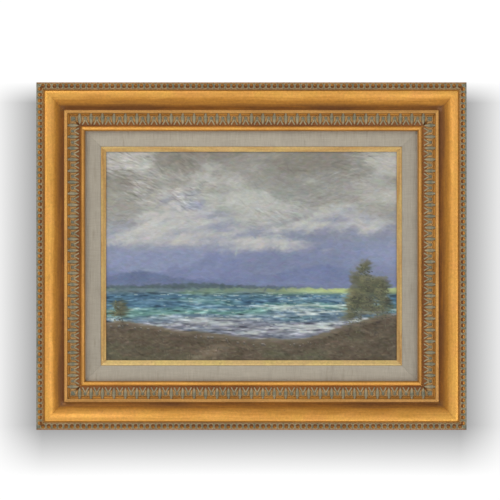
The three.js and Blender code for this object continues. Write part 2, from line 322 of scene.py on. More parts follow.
def set_attribute(mesh, name, domain, values, kind="FLOAT"):
    attribute = mesh.attributes.new(name, kind, domain)
    key = "color" if kind == "FLOAT_COLOR" else "value"
    attribute.data.foreach_set(key, np.asarray(values, dtype=np.float32).ravel())


def vertex_places(mesh):
    """Each vertex's place in metres, one in a row."""
    places = np.zeros(len(mesh.vertices) * 3, dtype=np.float32)
    mesh.vertices.foreach_get("co", places)
    return places.reshape(-1, 3)


def corner_vertices(mesh):
    """The number of the vertex at each corner of each face."""
    numbers = np.zeros(len(mesh.loops), dtype=np.int32)
    mesh.loops.foreach_get("vertex_index", numbers)
    return numbers


def shade_by_angle(mesh, degrees):
    """Smooth shading, but for the edges that turn by more than the angle."""
    mesh.shade_smooth()
    mesh.set_sharp_from_angle(angle=math.radians(degrees))


def swept_mesh(name, stations, loops, tones, bare, room, capped):
    """A tube of equal loops along x. loops is [station][point] of (y, z); tones is {name: [station][point]};
    bare and room are for each edge of the loop: 1 where the wood is bare, and the texture room it takes."""
    count, size = len(stations), len(room)
    places = np.zeros((count, size, 3))
    places[:, :, 0] = np.asarray(stations)[:, None]
    places[:, :, 1:] = loops
    starts = np.concatenate([[0], np.cumsum(room)])
    faces, strips, wood = [], [], []
    for station in range(count - 1):
        near, far = station * size, (station + 1) * size
        for point in range(size):
            after = (point + 1) % size
            faces.append((near + point, near + after, far + after, far + point))
            strips += [starts[point], starts[point + 1], starts[point + 1], starts[point]]
            wood.append(bare[point])
    if capped:
        for loop in (range(size - 1, -1, -1), range((count - 1) * size, count * size)):
            faces.append(tuple(loop))
            strips += [starts[-1] + places[v // size, v % size, 2] for v in loop]
            wood.append(0)
    mesh = bpy.data.meshes.new(name)
    mesh.from_pydata((places.reshape(-1, 3) * MM).tolist(), [], faces)
    for tone, values in tones.items():
        set_attribute(mesh, tone, "POINT", np.broadcast_to(values, (count, size)))
    set_attribute(mesh, "bare", "FACE", wood)
    set_attribute(mesh, "strip", "CORNER", strips)
    return mesh


def profile_mesh(name, side, points, tones, bare_edges, spacing=9.0):
    """A plain rail of one profile. points is [(y, z)] drawn anticlockwise as seen from its end."""
    half = rail_length(side) / 2
    steps = max(1, round(half / spacing))
    stations = np.linspace(-half, half, 2 * steps + 1)
    points = np.array(points)
    edges = np.linalg.norm(np.roll(points, -1, axis=0) - points, axis=1)
    bare = [1.0 if i in bare_edges else 0.0 for i in range(len(points))]
    room = [edge * (BACK_SCALE if i in bare_edges else 1.0) for i, edge in enumerate(edges)]
    loops = np.broadcast_to(points, (len(stations), len(points), 2))
    plain = {"umber": 0.0, "patina": 0.0, "bole": 0.0, "pale": 0.0}
    return swept_mesh(name, stations, loops, {**plain, **tones}, bare, room, True)


def tile_mesh(name, pitch, rows, heights, columns, inset):
    """One repeat of an ornament as a slice of tube, whose hidden floor is narrower by inset at both sides.
    heights(x, y) gives the height and the tones."""
    stations = np.linspace(-pitch / 2, pitch / 2, columns + 1)
    across = np.asarray(rows)[::-1]
    x, y = np.meshgrid(stations, across, indexing="ij")
    z, tones = heights(x, y)
    count, size = len(stations), len(across) + 2
    loops = np.zeros((count, size, 2))
    loops[:, 2:, 0], loops[:, 2:, 1] = y, z
    loops[:, 0] = (across[-1] + inset, z[:, -1].min() - TILE_DEPTH)
    loops[:, 1] = (across[0] - inset, z[:, 0].min() - TILE_DEPTH)
    full = {}
    for tone, values in tones.items():
        full[tone] = np.zeros((count, size))
        full[tone][:, 2:] = values
    edges = np.abs(np.diff(across))
    room = [1.0, 1.0, *edges, 1.0]
    return swept_mesh(name, stations, loops, full, [0.0] * size, room, False)


# The profiles, as lists of (distance inwards, height above the back)


def moulding_profile(section):
    """The frame's rail without its ornament, with a bed under each ornamented strip."""
    sizes = section.moulding
    eyelet_bed = sizes.band_height - 4.6
    border_bed = 2.4
    inset = 0.2  # how far the beds stand back from their strips' edges
    fillet_inner_round, fillet_outer_round = 1.3, 0.8
    past_half = 0.42  # how far the bead goes on past a half circle at both ends, in radians
    radius = sizes.bead_radius
    middle = section.bead + radius
    rabbet = [
        (0, 0),
        (section.rabbet, 0),
        (section.rabbet, sizes.lip_height),
        (section.sight, sizes.lip_height),
    ]
    edge = [(section.sight, sizes.bead_centre - radius * 0.6)]
    angles = np.linspace(-past_half, math.pi + past_half, 17)
    bead = [(middle + radius * math.cos(a), sizes.bead_centre + radius * math.sin(a)) for a in angles]
    bed = [
        (section.border_end, sizes.border_inner - 0.4),
        (section.border_end - inset, sizes.border_inner - border_bed),
        (section.border + inset, sizes.border_outer - border_bed),
    ]
    inner_corner = (section.border, sizes.fillet_height)
    outer_corner = (section.fillet, sizes.fillet_height)
    fillet = [
        *rounded(inner_corner, (0, -fillet_inner_round), (-fillet_inner_round, 0), 5),
        *rounded(outer_corner, (fillet_outer_round, 0), (0, -fillet_outer_round), 4),
        (section.fillet, sizes.groove_height),
    ]
    cove = cubic(
        (section.groove, sizes.groove_height),
        (section.groove - sizes.cove_foot, sizes.groove_height),
        (section.crest + sizes.cove_crown, sizes.crest_height),
        (section.crest, sizes.crest_height),
        30,
    )
    shoulder = quarter(
        (section.crest - 0.6, sizes.crest_height),
        (section.shoulder, sizes.crest_height),
        (section.shoulder, sizes.quirk_height),
        7,
    )
    outside = [(section.shoulder - 0.1, eyelet_bed), (inset, eyelet_bed), (0, eyelet_bed - inset)]
    return rabbet + edge + bead + bed + fillet + cove + shoulder + outside


# Umber wash and painted shade over the cove, from its crest to its foot, at the stops: darker towards the
# foot.
# The light differs from side to side, and so does this painted shade, which gives the cove its tones.
COVE_STOPS = (0, 0.12, 0.28, 0.46, 0.60, 0.72, 0.86, 1)
UPRIGHT_WASH_AND_SHADE = (0, 0.02, 0.20, 0.42, 0.62, 0.86, 1, 1)
COVE_WASH_AND_SHADE = {
    "left": UPRIGHT_WASH_AND_SHADE,
    "right": UPRIGHT_WASH_AND_SHADE,
    "top": (0.03, 0.08, 0.31, 0.46, 0.51, 0.80, 1.00, 0.85),
    "bottom": (0.02, 0.09, 0.28, 0.25, 0.42, 0.78, 0.88, 0.80),
}


def moulding_tones(section, points, side):
    """How much umber wash, which also paints shade, and pale grey-green wash lies at each place of the
    moulding's profile.
    """
    sizes = section.moulding
    across = np.array([place for place, _ in points])
    cove_share = np.clip((across - section.crest) / sizes.cove_width, 0, 1)
    wash = np.interp(cove_share, COVE_STOPS, COVE_WASH_AND_SHADE[side])
    wash = np.where(across < section.shoulder + 0.5, 0.45, wash)
    # More umber by steps across the inner part. On the fillet, darker on the top and bottom rails, and on the
    # bead, darker on the side rails, it is painted shade that differs with how light falls on each side.
    steps = (
        (section.fillet, by_side(side, 0.25, 0.42)),
        (section.border - 0.1, 0.75),
        (section.bead, by_side(side, 0.37, 0.03)),
        (section.bead + sizes.bead_radius * 1.5, 0.60),
    )
    for start, amount in steps:
        wash = np.where(across >= start, amount, wash)
    wash = np.where(across < 0.3, 0.6, wash)
    on_fillet = (across >= section.fillet) & (across < section.border + 0.1)
    patina = np.where(on_fillet, 0.20, 0.0)
    # On the side rails' bead the grey-green is painted shade.
    patina = np.where(across >= section.bead, by_side(side, 0.12, 0.0), patina)
    return {"umber": wash, "patina": patina, "pale": 1.0}


def liner_profile(section):
    """A rail of the liner, whose front falls a little towards the painting."""
    liner = section.liner
    inner_corner = (section.liner_inner, section.liner_inner_top)
    return [
        (section.liner_outer, section.liner_back),
        (section.liner_rabbet, section.liner_back),
        (section.liner_rabbet, section.lip_underside),
        (section.liner_inner, section.lip_underside),
        *rounded(inner_corner, (0, -liner.liner_round), (-liner.liner_round, 0), 6),
        (section.sight + liner.linen_face / 2, section.liner_top - liner.liner_fall / 2),
        (section.sight, section.liner_top),
        (section.liner_outer, section.liner_top),
    ]


def slip_profile(section):
    """A rail of the slip: a bead beside the liner and a bevel down to a thin edge at the painting."""
    liner = section.liner
    bead_start = section.liner_inner + liner.slip_step
    bead_end = bead_start + liner.slip_bead
    bead_top = section.slip_top + liner.slip_rise
    bead_round = 0.6
    edge_top = section.slip_back + liner.slip_edge
    edge_round = 0.5
    edge = quarter(
        (section.slip_inner, edge_top),
        (section.slip_inner, edge_top + edge_round),
        (section.slip_inner - edge_round, edge_top + 0.6),
        3,
    )
    bead_fall = quarter(
        (bead_end + 0.4, bead_top - 0.35), (bead_end, bead_top), (bead_end - 0.7, bead_top), 3
    )
    return [
        (section.slip_outer, section.slip_back),
        (section.slip_inner, section.slip_back),
        *edge,
        *bead_fall,
        *rounded((bead_start, bead_top), (bead_round, 0), (0, -bead_round), 5),
        (bead_start, section.slip_top),
        (section.slip_outer, section.slip_top),
    ]


# Ornament


def eyelet_heights(section, ornament, pitch, side):
    """Heights and tones of one eyelet: a pinched, rounded band with a hollow in a raised ring."""
    sizes = section.moulding
    middle = sizes.band_edge + sizes.band_flat / 2
    top = sizes.band_height - 0.45
    half_along, half_across = ornament.eyelet_radius, ornament.eyelet_radius * 1.12
    squareness = 2.7
    ring_place, ring_width, ring_height = 1.2, 0.2, 0.30
    valley_width, valley_depth = 0.5, 0.45
    edge_start, edge_end = by_side(side, (-0.3, 0.5), (1.3, 2.4))
    # Painted shade at the band's outer edge, deepest on the bottom rail.
    edge_shade = {"top": 0.12, "bottom": 0.36}.get(side, 0.25)
    inner_loss = by_side(side, 0.45, 0.20)
    # How strong the painted highlight on each pit's outer wall is, stronger on the side rails.
    pit_glint = by_side(side, 0.78, 0.40)

    def heights(x, y):
        pinch = 0.5 - 0.5 * np.cos(2 * np.pi * x / pitch)
        across = middle + (y - middle) / (1 - 0.10 * pinch)
        rise = np.clip((sizes.band_edge - across) / sizes.band_edge, 0, 1)
        band = top - sizes.band_drop * (1 - np.sqrt(np.clip(1 - rise**2, 0, 1)))
        fall = smooth(sizes.band_edge + sizes.band_flat, section.quirk, across)
        band = band - fall * (top - sizes.quirk_height)
        raised = 1 - smooth(0.5, 3.0, top - band)
        reach_along = np.abs(x / half_along) ** squareness
        reach_across = np.abs((y - middle) / half_across) ** squareness
        reach = (reach_along + reach_across) ** (1 / squareness)
        ring = np.exp(-(((reach - ring_place) / ring_width) ** 2))
        valley = np.exp(-(((pitch / 2 - np.abs(x)) / valley_width) ** 2))
        pit = smooth(1.08, 0.55, reach)
        z = band + raised * (ring_height * ring - valley_depth * valley) - ornament.eyelet_depth * pit
        outward = (middle - y) / half_across
        # The lit crescent: a painted highlight on the pit's outer wall.
        lit_crescent = smooth(0.05, 0.45, outward) * smooth(0.02, 0.3, pit)
        patina = (1 - smooth(0.05, 0.4, pit)) * smooth(edge_start, edge_end, y)
        patina = patina * (1 - inner_loss * smooth(middle + 2.2, middle + 3.4, y))
        patina = patina * smooth(section.quirk, section.quirk - 0.6, y)
        # Painted shade: the quirk darker than the band, the outer edge darker by side, and the pit dark with
        # umber and shade but for its lit crescent.
        umber = np.where(y > section.quirk - 0.6, 0.62, 0.46) + edge_shade * smooth(2.2, 1.0, y)
        umber = umber * (1 - pit) + pit * (0.88 - pit_glint * lit_crescent)
        pale = 0.15 + 0.35 * ring * smooth(0.0, 0.6, np.abs(y - middle)) - 0.2 * valley
        pale = pale + 0.35 * smooth(middle + 1.8, middle + 3.0, y)
        bole = pit * (1 - lit_crescent) * 0.50
        return z, {"umber": umber, "patina": patina, "bole": bole, "pale": pale}

    return heights


def leaf_heights(section, ornament, pitch):
    """Heights and tones of one repeat: a dart, and half a drop with its leg and arch at either side."""
    sizes = section.moulding
    recess_end, recess_depth = 3.0, 0.8
    dart_end = 15.6
    widest = 0.45  # where along it a dart is widest
    arch_half_line, leg_half_width = 0.7, 1.1
    arch_middle, arch_half_width, arch_half_length = 7.2, 4.2, 3.8
    drop_middle, drop_length, drop_width = 6.7, 2.6, 2.1
    leg_start, leg_end = (0.9, 9.4), (3.8, 14.6)

    def heights(x, y):
        v = y - section.border
        ground = sizes.border_outer + (sizes.border_inner - sizes.border_outer) * v / sizes.border_width
        recess = recess_depth * (1 - smooth(recess_end - 0.4, recess_end + 0.4, v))
        run = np.clip(v / dart_end, 0, 1)
        head = 0.55 + 0.45 * np.sin(np.pi * run / (2 * widest))
        point = np.cos(np.pi * (run - widest) / (2 * (1 - widest))) ** 0.8
        swell = np.where(run < widest, head, point)
        dart_half = ornament.dart_width / 2 * swell + 1e-3
        taper = np.clip((1 - run) * 6.0, 0, 1) ** 0.6
        dart = round_ridge(np.abs(x), dart_half, 1.0) * taper
        beside = pitch / 2 - np.abs(x)
        above = np.minimum(v - arch_middle, 0) / arch_half_length
        arch_distance = (np.hypot(beside / arch_half_width, above) - 1) * arch_half_width
        arch_fade = 1 - smooth(arch_middle + 2.0, arch_middle + 5.5, v)
        arch = round_ridge(arch_distance, arch_half_line, 1.0) * arch_fade
        drop = round_ridge(np.hypot(beside / drop_width, (v - drop_middle) / drop_length), 1.0, 1.0)
        leg_distance = distance_to_line(beside, v, leg_start, leg_end)
        leg = round_ridge(leg_distance, leg_half_width, 1.0)
        relief = np.maximum.reduce(
            [
                dart * ornament.dart_height,
                drop * ornament.drop_height,
                leg * ornament.leg_height,
                arch * ornament.arch_height,
            ]
        )
        z = ground - recess + relief
        raised = np.maximum.reduce([dart, drop, leg * 0.70])
        patina = np.maximum(smooth(0.15, 0.5, raised), 0.45 * smooth(0.3, 0.8, arch))
        low = 1 - smooth(0.1, 0.6, np.maximum(raised, arch))
        # More umber on the low ground, in the recess and in the channel by the bead: wash in the hollows and
        # painted shade there.
        umber = 0.20 + low * (0.32 + 0.30 * smooth(8.5, 12.0, v))
        umber = np.where(v < recess_end, 0.22 + 0.30 * low, umber)
        umber = np.where(v > sizes.border_width - 0.8, 0.9, umber)
        bole = low * np.where(v < recess_end, 0.1, 0.05 + 0.48 * smooth(9.5, 13.5, v))
        stained = 0.55 * low * smooth(recess_end, recess_end + 1.0, v) * smooth(12.5, 9.5, v)
        patina = np.maximum(patina, stained)
        dart_pale = 0.15 + 0.65 * np.abs(2 * run - 0.8) ** 1.2
        pale = np.where(dart > 0.05, dart_pale, 0.62)
        pale = np.where(drop > 0.05, 0.65 - 0.75 * drop, pale)
        return z, {"umber": umber, "patina": patina, "bole": bole, "pale": pale}

    return heights


def fitted(run, pitch):
    """How many repeats of about the given pitch fill a run, and their exact pitch."""
    count = round(run / pitch)
    return count, run / count


def eyelet_tile(section, ornament, pitch, side):
    """An object with one repeat of the eyelet band."""
    sizes = section.moulding
    band_end = sizes.band_edge + sizes.band_flat
    edge_rows = np.linspace(0.0, sizes.band_edge, 8)[:-1]
    flat_rows = np.linspace(sizes.band_edge, band_end, 12)[:-1]
    fall_rows = np.linspace(band_end, section.shoulder, 7)
    rows = np.concatenate([edge_rows, flat_rows, fall_rows])
    heights = eyelet_heights(section, ornament, pitch, side)
    mesh = tile_mesh("eyelet", pitch, rows, heights, columns=16, inset=0.3)
    return loose_object("eyelet", mesh)


def leaf_tile(section, ornament, pitch):
    """An object with one repeat of the leaf-and-dart border."""
    rows = np.linspace(section.border, section.border_end, 37)
    heights = leaf_heights(section, ornament, pitch)
    mesh = tile_mesh("leaf", pitch, rows, heights, columns=36, inset=0.1)
    return loose_object("leaf", mesh)


# Geometry Nodes: a mitred rail with rows of repeated ornament

MERGE_DISTANCE = 1e-5  # in metres
END_TOLERANCE = 2e-5  # how near to the end of its run a place counts as there, in metres


def new_node(tree, kind, inputs=None, **options):
    """Adds a node. inputs maps a socket's name or number to a value or to another node's output."""
    made = tree.nodes.new(kind)
    for key, value in options.items():
        setattr(made, key, value)
    for key, value in (inputs or {}).items():
        if isinstance(value, bpy.types.NodeSocket):
            tree.links.new(value, made.inputs[key])
        else:
            made.inputs[key].default_value = value
    return made


def maths(tree, operation, *values):
    return new_node(tree, "ShaderNodeMath", dict(enumerate(values)), operation=operation).outputs[0]


def times(tree, first, second):
    return maths(tree, "MULTIPLY", first, second)


def plus(tree, first, second):
    return maths(tree, "ADD", first, second)


def vector_of(tree, **parts):
    """A vector from its X, Y and Z, of which those that are 0 may be left out."""
    return new_node(tree, "ShaderNodeCombineXYZ", parts).outputs[0]


def merged(tree, geometry):
    inputs = {"Geometry": geometry, "Distance": MERGE_DISTANCE}
    return new_node(tree, "GeometryNodeMergeByDistance", inputs).outputs[0]


def start_tree(name, inputs, output):
    """A new node tree with its named inputs and its output. Returns it and the inputs' sockets."""
    tree = bpy.data.node_groups.new(name, "GeometryNodeTree")
    for label, kind in inputs.items():
        tree.interface.new_socket(label, in_out="INPUT", socket_type="NodeSocket" + kind)
    tree.interface.new_socket(output, in_out="OUTPUT", socket_type="NodeSocketGeometry")
    return tree, tree.nodes.new("NodeGroupInput").outputs


def end_tree(tree, geometry, material):
    """Ends a tree with real geometry in one material."""
    real = new_node(tree, "GeometryNodeRealizeInstances", {"Geometry": geometry})
    inputs = {"Geometry": real.outputs[0], "Material": material}
    dressed = new_node(tree, "GeometryNodeSetMaterial", inputs)
    tree.links.new(dressed.outputs[0], tree.nodes.new("NodeGroupOutput").inputs[0])


def line_of_points(tree, count, spacing, first):
    """Evenly spaced points along x. first is the place of the first one."""
    start = vector_of(tree, X=first)
    step = vector_of(tree, X=spacing)
    inputs = {"Count": count, "Start Location": start, "Offset": step}
    return new_node(tree, "GeometryNodeMeshLine", inputs, mode="OFFSET", count_mode="TOTAL").outputs[0]


def copies_on(tree, points, item, **inputs):
    """A copy of an object on each point."""
    source = new_node(tree, "GeometryNodeObjectInfo", {"Object": item}).outputs["Geometry"]
    inputs.update({"Points": points, "Instance": source})
    return new_node(tree, "GeometryNodeInstanceOnPoints", inputs).outputs[0]


def mitred(tree, geometry, half_length, run_end):
    """Cuts geometry at the two mitres, after stretching what ends at run_end out to them."""
    place = new_node(tree, "GeometryNodeInputPosition").outputs[0]
    parts = new_node(tree, "ShaderNodeSeparateXYZ", {0: place}).outputs
    distance = maths(tree, "ABSOLUTE", parts["X"])
    at_end = maths(tree, "GREATER_THAN", distance, maths(tree, "SUBTRACT", run_end, END_TOLERANCE))
    stretched = plus(tree, distance, at_end)
    limit = maths(tree, "SUBTRACT", half_length, parts["Y"])
    kept = times(tree, maths(tree, "MINIMUM", stretched, limit), maths(tree, "SIGN", parts["X"]))
    target = vector_of(tree, X=kept, Y=parts["Y"], Z=parts["Z"])
    moved = new_node(tree, "GeometryNodeSetPosition", {"Geometry": geometry, "Position": target})
    return merged(tree, moved.outputs[0])


def ornament_row(tree, tile, count, spacing, half_length, unevenness, seed):
    """A row of one tile, joined edge to edge, cut at the mitres and given a slight waver."""
    half_run = times(tree, times(tree, count, spacing), 0.5)
    first = maths(tree, "MULTIPLY_ADD", spacing, 0.5, times(tree, half_run, -1.0))
    row = copies_on(tree, line_of_points(tree, count, spacing, first), tile)
    real = new_node(tree, "GeometryNodeRealizeInstances", {"Geometry": row})
    joined = merged(tree, real.outputs[0])
    inputs = {"Scale": 210.0, "Detail": 2.0, "W": seed}
    waver = new_node(tree, "ShaderNodeTexNoise", inputs, noise_dimensions="4D")
    centred = maths(tree, "SUBTRACT", waver.outputs[0], 0.5)
    offset = vector_of(tree, Z=times(tree, centred, unevenness))
    wavered = new_node(tree, "GeometryNodeSetPosition", {"Geometry": joined, "Offset": offset})
    return mitred(tree, wavered.outputs[0], half_length, half_run)


def rail_tree():
    """The node tree of a rail: its plain body and two rows of ornament, all mitred."""
    inputs = {
        "Body": "Geometry",
        "Half length": "Float",
        "Body end": "Float",
        "Eyelet": "Object",
        "Eyelet count": "Int",
        "Eyelet spacing": "Float",
        "Leaf": "Object",
        "Leaf count": "Int",
        "Leaf spacing": "Float",
        "Unevenness": "Float",
        "Seed": "Float",
        "Finish": "Material",
    }
    tree, given = start_tree("Mitred rail", inputs, "Rail")
    half = given["Half length"]
    body = mitred(tree, given["Body"], half, given["Body end"])
    shared = (half, given["Unevenness"], given["Seed"])
    eyelets = ornament_row(tree, given["Eyelet"], given["Eyelet count"], given["Eyelet spacing"], *shared)
    leaves = ornament_row(tree, given["Leaf"], given["Leaf count"], given["Leaf spacing"], *shared)
    joined = new_node(tree, "GeometryNodeJoinGeometry")
    for part in (body, eyelets, leaves):
        tree.links.new(part, joined.inputs[0])
    end_tree(tree, joined.outputs[0], given["Finish"])
    return tree


def loose_object(name, mesh):
    made = bpy.data.objects.new(name, mesh)
    bpy.context.scene.collection.objects.link(made)
    return made


def grown_mesh(source, tree, values):
    """The mesh that a node tree makes of an object, which is removed. values holds the tree's inputs."""
    modifier = source.modifiers.new(tree.name, "NODES")
    modifier.node_group = tree
    for item in tree.interface.items_tree:
        if item.in_out == "INPUT" and item.name in values:
            modifier[item.identifier] = values[item.name]
    bpy.context.view_layer.update()
    graph = bpy.context.evaluated_depsgraph_get()
    mesh = bpy.data.meshes.new_from_object(source.evaluated_get(graph), depsgraph=graph)
    bpy.data.objects.remove(source)
    return mesh


def close_ends(mesh):
    """Closes the open ends of the ornament's tubes at the mitres."""
    shape = bmesh.new()
    shape.from_mesh(mesh)
    bmesh.ops.holes_fill(shape, edges=[e for e in shape.edges if e.is_boundary], sides=0)
    bmesh.ops.triangulate(shape, faces=[f for f in shape.faces if len(f.verts) > 4])
    shape.to_mesh(mesh)
    shape.free()


def lay_out_texture(mesh, half):
    """The rail's own UV map: two lanes, one for each half of the rail, with each strip beside the next."""
    points = corner_vertices(mesh)
    along = vertex_places(mesh)[:, 0] / MM
    totals = np.zeros(len(mesh.polygons), dtype=np.int32)
    mesh.polygons.foreach_get("loop_total", totals)
    face = np.repeat(np.arange(len(totals)), totals)
    middles = np.bincount(face, along[points]) / totals
    lane = (middles > 0).astype(float)[face]
    strip = np.zeros(len(points), dtype=np.float32)
    mesh.attributes["strip"].data.foreach_get("value", strip)
    margin = 0.012
    u = margin + (1 - 2 * margin) * (along[points] + half * (1 - lane)) / half
    v = (lane + margin + (1 - 2 * margin) * strip / max(strip.max(), 1.0)) / 2
    layer = mesh.uv_layers.new(name="OFBake")
    layer.data.foreach_set("uv", np.stack([u, v], axis=1).astype(np.float32).ravel())


def place_on_side(mesh, side):
    """Turns a rail's mesh from its own axes into its place in the frame."""
    lay = Matrix.Rotation(math.pi / 2, 4, "X")
    outwards = Matrix.Translation(Vector((0, 0, -rail_reach(side) * MM)))
    turn = Matrix.Rotation(SIDE_TURNS[side], 4, "Y")
    centre = Matrix.Translation(Vector((CENTRE[0] * MM, 0, CENTRE[2] * MM)))
    mesh.transform(centre @ turn @ outwards @ lay)


def mitred_piece(name, side, body, material, rows=None):
    """One rail in its place, made from its plain body and, on the frame, its rows of ornament."""
    tree = bpy.data.node_groups.get("Mitred rail") or rail_tree()
    half = rail_length(side) / 2
    gap = settings("moulding_sizes").mitre_gap / MM
    values = {
        "Half length": (half - gap * math.sqrt(0.5)) * MM,
        "Body end": (half + 1) * MM,  # past the body, so that none of it is stretched
        "Eyelet count": 0,
        "Leaf count": 0,
        "Finish": material,
    }
    values.update(rows or {})
    mesh = grown_mesh(loose_object(name + "_source", body), tree, values)
    mesh.name = name
    close_ends(mesh)
    places = vertex_places(mesh)
    set_attribute(mesh, "along", "POINT", places[:, 0])
    set_attribute(mesh, "across", "POINT", places[:, 1])
    lay_out_texture(mesh, half)
    place_on_side(mesh, side)
    shade_by_angle(mesh, 38)
    piece = loose_object(name, mesh)
    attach(piece, "root")
    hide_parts(name)


# Materials


def new_material(name):
    material = bpy.data.materials.new(name)
    material.use_nodes = True
    tree = material.node_tree
    return material, tree, tree.nodes["Principled BSDF"]


def attribute(tree, name):
    return new_node(tree, "ShaderNodeAttribute", attribute_name=name).outputs["Fac"]


def noise(tree, vector, scale, detail=3.0, roughness=0.55):
    inputs = {"Vector": vector, "Scale": scale, "Detail": detail, "Roughness": roughness}
    return new_node(tree, "ShaderNodeTexNoise", inputs).outputs[0]


def range_map(tree, value, low, high, to_low=0.0, to_high=1.0):
    inputs = {"Value": value, "From Min": low, "From Max": high, "To Min": to_low, "To Max": to_high}
    return new_node(tree, "ShaderNodeMapRange", inputs, clamp=True).outputs[0]


def noise_range(tree, value, low, high):
    """A noise's value, of which most lies between 0.3 and 0.7, brought to run from low to high."""
    return range_map(tree, value, 0.3, 0.7, low, high)


def mix(tree, factor, first, second, blend="MIX"):
    """Mixes two colours, given as property values or sockets. The node has a socket of each name for every
    type, so they are set by number."""
    made = tree.nodes.new("ShaderNodeMix")
    made.data_type = "RGBA"
    made.blend_type = blend
    made.clamp_factor = True
    for key, value in ((0, factor), (6, first), (7, second)):
        if isinstance(value, bpy.types.NodeSocket):
            tree.links.new(value, made.inputs[key])
        else:
            made.inputs[key].default_value = value if key == 0 else (*value, 1.0)
    return made.outputs[2]


def grey(tree, value):
    """A grey colour from a number, to multiply another colour by."""
    return new_node(tree, "ShaderNodeCombineColor", {0: value, 1: value, 2: value}).outputs[0]


def scaled(tree, vector, scale):
    return new_node(tree, "ShaderNodeMapping", {"Vector": vector, "Scale": scale}).outputs[0]


def object_place(tree, stretch=(1.0, 1.0, 1.0)):
    return scaled(tree, new_node(tree, "ShaderNodeTexCoord").outputs["Object"], stretch)


def vector_maths(tree, operation, first, second):
    return new_node(tree, "ShaderNodeVectorMath", {0: first, 1: second}, operation=operation).outputs[0]


def along_rail(tree, stretch_along):
    """Coordinates that run with a rail: along it, squeezed by stretch_along, and across it."""
    run = times(tree, attribute(tree, "along"), stretch_along)
    depth = new_node(tree, "ShaderNodeSeparateXYZ", {0: object_place(tree)}).outputs["Y"]
    return vector_of(tree, X=run, Y=attribute(tree, "across"), Z=depth)


def bump(tree, height, distance, strength):
    inputs = {"Height": height, "Distance": distance, "Strength": strength}
    return new_node(tree, "ShaderNodeBump", inputs).outputs[0]


def wood_tones(tree, colour_value):
    """Bare wood with its grain along the rail."""
    grain = noise(tree, along_rail(tree, 0.06), 260.0, 4.0, 0.62)
    fine = noise(tree, along_rail(tree, 0.03), 1400.0, 2.0)
    shade = range_map(tree, grain, 0.3, 0.72, 0.68, 1.15)
    shade = times(tree, shade, noise_range(tree, fine, 0.9, 1.06))
    return mix(tree, 1.0, colour_value, grey(tree, shade), "MULTIPLY")


def gilt_material(name, bright, deep):
    """Gilding over bole, with an umber wash in the hollows and a grey-green wash on raised ornament. The umber
    amount also paints shade: towards the cove's foot, in the hollows and on some sides.
    """
    colours = settings("finish_colours")
    material, tree, shader = new_material(name)
    even = object_place(tree)
    clouds = noise(tree, along_rail(tree, 0.22), 55.0, 4.0, 0.6)
    streaks = noise(tree, along_rail(tree, 0.05), 420.0, 3.0)
    specks = noise(tree, even, 1500.0, 2.0, 0.7)
    blotches = noise(tree, even, 130.0, 4.0, 0.6)

    wash = plus(tree, attribute(tree, "umber"), range_map(tree, clouds, 0.25, 0.75, -0.19, 0.19))
    wash = plus(tree, wash, noise_range(tree, streaks, -0.09, 0.09))
    warmth = range_map(tree, noise(tree, even, 34.0, 3.0), 0.35, 0.65)
    greener = [channel * change for channel, change in zip(bright, (1.0, 1.10, 0.92))]
    leaf = mix(tree, warmth, bright, greener)
    # Gold turns to deep gilt, then umber, as the wash and its painted shade grow.
    gold = mix(tree, range_map(tree, wash, 0.0, 0.45), leaf, deep)
    toned = mix(tree, range_map(tree, wash, 0.45, 1.0), gold, colours.umber)
    rubbed = times(tree, range_map(tree, blotches, 0.60, 0.74), 0.25)
    clay = maths(tree, "MAXIMUM", attribute(tree, "bole"), rubbed)
    clayed = mix(tree, clay, toned, colours.bole)
    pale = plus(tree, attribute(tree, "pale"), noise_range(tree, blotches, -0.35, 0.35))
    green = mix(tree, pale, colours.patina, colours.patina_pale)
    cover = times(tree, attribute(tree, "patina"), range_map(tree, specks, 0.3, 0.5, 0.7, 0.97))
    washed = mix(tree, cover, clayed, green)
    mottle = noise_range(tree, noise(tree, even, 300.0, 3.0), 0.89, 1.10)
    flecks = grey(tree, times(tree, mottle, noise_range(tree, specks, 0.88, 1.09)))
    flecked = mix(tree, 1.0, washed, flecks, "MULTIPLY")
    bare = attribute(tree, "bare")
    surface = mix(tree, bare, flecked, wood_tones(tree, colours.bare_wood))
    tree.links.new(surface, shader.inputs["Base Color"])

    dull = maths(tree, "MAXIMUM", cover, maths(tree, "MAXIMUM", clay, bare))
    covered = maths(tree, "MAXIMUM", dull, range_map(tree, wash, 0.5, 1.1, 0.0, 0.75))
    shine = maths(tree, "SUBTRACT", 1.0, covered)
    tree.links.new(times(tree, shine, 0.62), shader.inputs["Metallic"])
    rough = plus(tree, noise_range(tree, clouds, 0.36, 0.46), times(tree, dull, 0.22))
    tree.links.new(rough, shader.inputs["Roughness"])
    relief = plus(tree, times(tree, streaks, 0.4), times(tree, specks, 0.5))
    tree.links.new(bump(tree, relief, 0.00012, 0.6), shader.inputs["Normal"])
    return material


